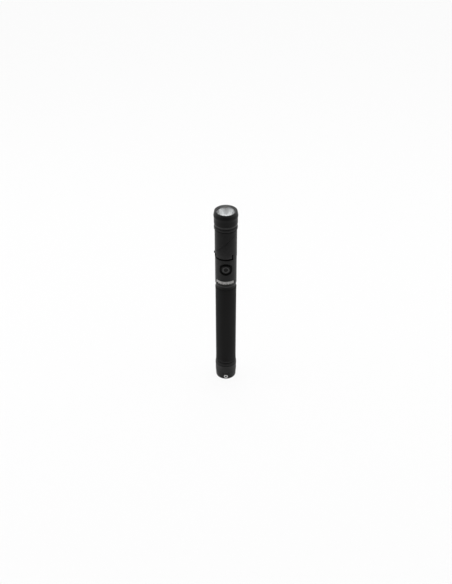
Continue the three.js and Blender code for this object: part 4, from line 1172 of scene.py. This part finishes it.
def head_upper_shell():
    """Upper half of the head, from the slanted cut to the ridge and the nose under the bezel."""
    rings = seam_rings(1, UPPER_BORE)[::-1]
    rings += rings_of([
        (HEAD_RADIUS, RIDGE_FOOT - RIDGE_APPROACH), (HEAD_RADIUS, RIDGE_FOOT),
        (RIDGE_RADIUS, RIDGE_FOOT + RIDGE_RISE, RIDGE_LOW_BEND),
        (RIDGE_RADIUS, RIDGE_FOOT + RIDGE_HEIGHT, RIDGE_HIGH_BEND), (SHOULDER_RADIUS, SHOULDER_Z),
        (NOSE_RADIUS, SHOULDER_Z), (NOSE_RADIUS, NOSE_TOP), (NOSE_BORE, NOSE_TOP), (NOSE_BORE, LEDGE_Z),
        (UPPER_BORE, LEDGE_Z)])
    bm = bmesh.new()
    loft(bm, rings)
    make_piece("head_upper_shell", bm, black_anodised, "head_upper", "black_anodised", "head_top")


def bezel_ring():
    """Bezel with a foot bevel, a plain band, a flange and a rounded rim with a flared mouth."""
    band = FLANGE_RADIUS - 0.43 * MM
    foot = band - 0.6 * MM
    crest = RIM_Z - 5.5 * MM
    sweep = crest - 3.2 * MM
    rim = FLANGE_RADIUS - 1.05 * MM
    seat = LENS_RADIUS + 0.25 * MM
    skirt = NOSE_RADIUS + 0.25 * MM
    soft = 0.2 * MM
    profile = [
        (skirt, BEZEL_BOTTOM), (foot, BEZEL_BOTTOM), (foot, FOOT_BEVEL_LOW), (band, FOOT_BEVEL_HIGH, soft),
        (band, sweep, 3 * soft), (FLANGE_RADIUS, crest - soft, soft), (FLANGE_RADIUS, crest + soft, soft),
        (rim, RIM_Z, 2.5 * soft), (MOUTH_RADIUS, RIM_Z), (MOUTH_FLOOR, RIM_Z - MOUTH_DEPTH),
        (MOUTH_FLOOR, LIP_Z), (seat, LIP_Z), (seat, NOSE_TOP + GAP), (skirt, NOSE_TOP + GAP)]
    make_piece("bezel_ring", turned(profile), bezel_black, "head_upper", "black_anodised", "bezel")


# Light

LENS_BEVEL = 0.2 * MM
GASKET_WIDTH = 0.4 * MM
GASKET_BEND = 0.15 * MM
LENS_OPENING = 10.4 * MM
REFLECTOR_FOCUS = 2.6 * MM
REFLECTOR_HOLE = 3.2 * MM
REFLECTOR_STEPS = 28
REFLECTOR_WALL = 0.8 * MM
REFLECTOR_EDGE = 0.12 * MM
REFLECTOR_BEND = 0.05 * MM
BASE_HEIGHT = 0.8 * MM
BASE_BEND = 0.12 * MM
DIE_HALF = 0.9 * MM
DIE_SUNK = 0.1 * MM
DIE_PROUD = 0.12 * MM
DIE_BEND = 0.04 * MM
DOME_SUNK = 0.03 * MM


def lens_glass():
    """Glass with ground edges and a step that fills the opening under the flare."""
    step = MOUTH_FLOOR - 0.06 * MM
    top = RIM_Z - MOUTH_DEPTH - 0.05 * MM
    bm = turned([
        (0, LENS_BOTTOM), (LENS_RADIUS, LENS_BOTTOM, LENS_BEVEL), (LENS_RADIUS, LENS_TOP, LENS_BEVEL),
        (step, LENS_TOP), (step, top), (0, top)], closed=False)
    make_piece("lens_glass", bm, lens_glass_look, "head_upper", "lens", "lens")


def gasket():
    """Seal between the glass and the reflector's rim."""
    section = tube(GASKET_RADIUS - GASKET_WIDTH, GASKET_RADIUS, GASKET_BOTTOM, GASKET_TOP)
    bm = turned(section, bend=GASKET_BEND)
    make_piece("gasket", bm, rubber, "head_upper", "black_rubber", "lens_gasket")


def reflector_cup():
    """Parabolic mirror with a rolled lower edge, a flat rim and a thin edge inside the gasket."""
    vertex = REFLECTOR_TOP - LENS_OPENING ** 2 / (4 * REFLECTOR_FOCUS)
    rim_low = REFLECTOR_TOP - 1.6 * MM
    edge_top = LENS_BOTTOM - 0.1 * MM
    mouth = math.sqrt(4 * REFLECTOR_FOCUS * (edge_top - vertex))
    inside = []
    outside = []
    for n in range(REFLECTOR_STEPS + 1):
        radius = mouth + (REFLECTOR_HOLE - mouth) * n / REFLECTOR_STEPS
        height = vertex + radius ** 2 / (4 * REFLECTOR_FOCUS)
        inside.append((radius, height, 0))
        if height < rim_low and n < REFLECTOR_STEPS:
            outside.insert(0, (radius + REFLECTOR_WALL, height, 0))
    edge = mouth + REFLECTOR_EDGE
    profile = inside + [(REFLECTOR_HOLE + REFLECTOR_WALL, REFLECTOR_BOTTOM)] + outside
    profile += [(LENS_RADIUS, rim_low), (LENS_RADIUS, REFLECTOR_TOP)]
    profile += [(edge, REFLECTOR_TOP), (edge, edge_top)]
    bm = turned(profile, bend=REFLECTOR_BEND)
    make_piece("reflector_cup", bm, mirror, "head_upper", "reflector", "reflector")


def led_emitter():
    """LED: ceramic base, phosphor and a clear dome."""
    low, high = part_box("led")
    base_top = low.z + BASE_HEIGHT
    dome = high.z - base_top
    base = block(low, (high.x, high.y, base_top - BASE_BEND / 2), BASE_BEND)
    make_piece("led_base", base, ceramic, "head_upper", "led", "led")
    die_low = (-DIE_HALF, -DIE_HALF, base_top - DIE_SUNK)
    die_high = (DIE_HALF, DIE_HALF, base_top + DIE_PROUD)
    make_piece("led_phosphor", block(die_low, die_high, DIE_BEND), phosphor, "head_upper", "led")
    start = base_top - DOME_SUNK
    profile = [(0, start)] + arc(0, start, dome, start=0, end=90, steps=14)[:-1] + [(0, start + dome)]
    shell = turned(profile, closed=False, sides=SMALL_SIDES, bend=0)
    make_piece("led_dome", shell, dome_clear, "head_upper", "led")


tail_shell()
eyelet()
grip_tube()
tail_seal()
neck_band()
switch_shell()
tick_marks()
button_cap()
bayonet_pin("pin_left", "bayonet_pin_left", LEFT_PIN)
bayonet_pin("pin_rear", "bayonet_pin_rear", REAR_PIN)
head_lower_shell()
head_upper_shell()
bezel_ring()
lens_glass()
gasket()
reflector_cup()
led_emitter()

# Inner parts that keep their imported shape
INNER_FINISHES = {
    "tail_plate": brass, "tail_spring": steel, "cell_lower": cell_wrap, "cell_upper": cell_wrap,
    "switch_plunger": plastic, "tact_switch": plastic, "switch_board": circuit, "switch_carrier": plastic,
    "front_contact": brass, "contact_board": circuit, "contact_leaf": brass, "driver_lead": rubber,
    "driver_board": circuit, "heat_sink": brass, "led_board": white_board, "led_spacer": plastic,
    "swivel_bolt": steel, "swivel_washer": steel, "swivel_nut": steel, "contact_sleeve": plastic,
    "contact_pin": brass,
}
for node, look in INNER_FINISHES.items():
    mesh = frame["nodes"][node].data
    mesh.materials.clear()
    mesh.materials.append(look)


# Stage

FLOOR_HALF = 3.0
FLOOR_TONE = 0.85
FLOOR_VEIL = 0.9
WORLD_LIGHT = 0.75
CARD_PLACE = -1.4
CARD_HALF = 1.2
CARD_HEIGHT = 1.8
CARD_FADE_FROM = 0.25
CARD_DARK = 0.011
CARD_PALE = 0.5
LAMP_AIM = (0, 0, 0.12)
CAMERA_PLACE = Vector((0.16 * MM, -0.741, 0.669))
CAMERA_AIM = Vector((0.16 * MM, 0.0, 0.131))
CAMERA_LENS = 46.36
SENSOR = 36.0


def aim(thing, target):
    """Turns a lamp or the camera to a point."""
    thing.rotation_euler = (Vector(target) - thing.location).to_track_quat("-Z", "Y").to_euler()


def shown_as_background(tree):
    """1 for the rays that should meet a white background."""
    rays = add(tree, "ShaderNodeLightPath").outputs
    seen = maths(tree, "MAXIMUM", rays["Is Camera Ray"], rays["Is Transmission Ray"])
    return maths(tree, "MAXIMUM", seen, rays["Is Glossy Ray"])


def panel(name, corners):
    """A flat sheet of the studio."""
    bm = bmesh.new()
    bm.faces.new([bm.verts.new(corner) for corner in corners])
    return object_of(name, bm)


def studio_floor():
    """A pale floor with a white background behind it, on which the object's shadow stays faint."""
    signs = [(-1, -1), (1, -1), (1, 1), (-1, 1)]
    plane = panel("floor", [(x * FLOOR_HALF, y * FLOOR_HALF, 0) for x, y in signs])
    material = bpy.data.materials.new("floor")
    material.use_nodes = True
    tree = material.node_tree
    tree.nodes.clear()
    paper = add(tree, "ShaderNodeBsdfDiffuse", Color=grey(FLOOR_TONE))
    clear = add(tree, "ShaderNodeBsdfTransparent")
    veil = maths(tree, "MULTIPLY", shown_as_background(tree), FLOOR_VEIL)
    mix = add(tree, "ShaderNodeMixShader", Fac=veil)
    tree.links.new(paper.outputs[0], mix.inputs[1])
    tree.links.new(clear.outputs[0], mix.inputs[2])
    add(tree, "ShaderNodeOutputMaterial", Surface=mix.outputs[0])
    plane.data.materials.append(material)


def front_card():
    """Dark card behind the camera, paler towards its top, which the reflector mirrors."""
    corners = [(-1, 0), (1, 0), (1, 1), (-1, 1)]
    sheet = panel("front_card", [(x * CARD_HALF, CARD_PLACE, z * CARD_HEIGHT) for x, z in corners])
    sheet.visible_camera = False
    material, tree, shader = new_material("front_card", Roughness=DULL, Specular_IOR_Level=0.0)
    _, height = polar(tree)
    tone = spread(tree, height, CARD_FADE_FROM, CARD_HEIGHT)
    colour = blend_colours(tree, tone, grey(CARD_DARK), grey(CARD_PALE))
    tree.links.new(colour, shader.inputs["Base Color"])
    sheet.data.materials.append(material)


def world():
    """White surroundings, a little weaker as light than as background."""
    made = bpy.data.worlds.new("studio")
    made.use_nodes = True
    tree = made.node_tree
    tree.nodes.clear()
    strength = maths(tree, "MAXIMUM", shown_as_background(tree), WORLD_LIGHT)
    back = add(tree, "ShaderNodeBackground", Color=(1, 1, 1, 1), Strength=strength)
    add(tree, "ShaderNodeOutputWorld", Surface=back.outputs[0])
    bpy.context.scene.world = made


def lamp(name, place, size, power):
    """A square soft lamp that points at the object."""
    light = bpy.data.lights.new(name, "AREA")
    light.size = size
    light.energy = power
    made = bpy.data.objects.new(name, light)
    bpy.context.scene.collection.objects.link(made)
    made.location = place
    aim(made, LAMP_AIM)


def camera():
    """Camera at the photograph's place."""
    lens = bpy.data.cameras.new("camera")
    lens.sensor_width = SENSOR
    lens.lens = CAMERA_LENS
    made = bpy.data.objects.new("camera", lens)
    bpy.context.scene.collection.objects.link(made)
    made.location = CAMERA_PLACE
    aim(made, CAMERA_AIM)
    bpy.context.scene.camera = made


studio_floor()
front_card()
world()
lamp("top_lamp", (0.0, 0.25, 1.2), size=0.55, power=4.5)
lamp("left_lamp", (-0.9, 0.1, 0.5), size=0.6, power=1.8)
lamp("right_lamp", (0.9, 0.1, 0.5), size=0.6, power=1.3)
camera()
bpy.context.scene.view_settings.view_transform = "Standard"
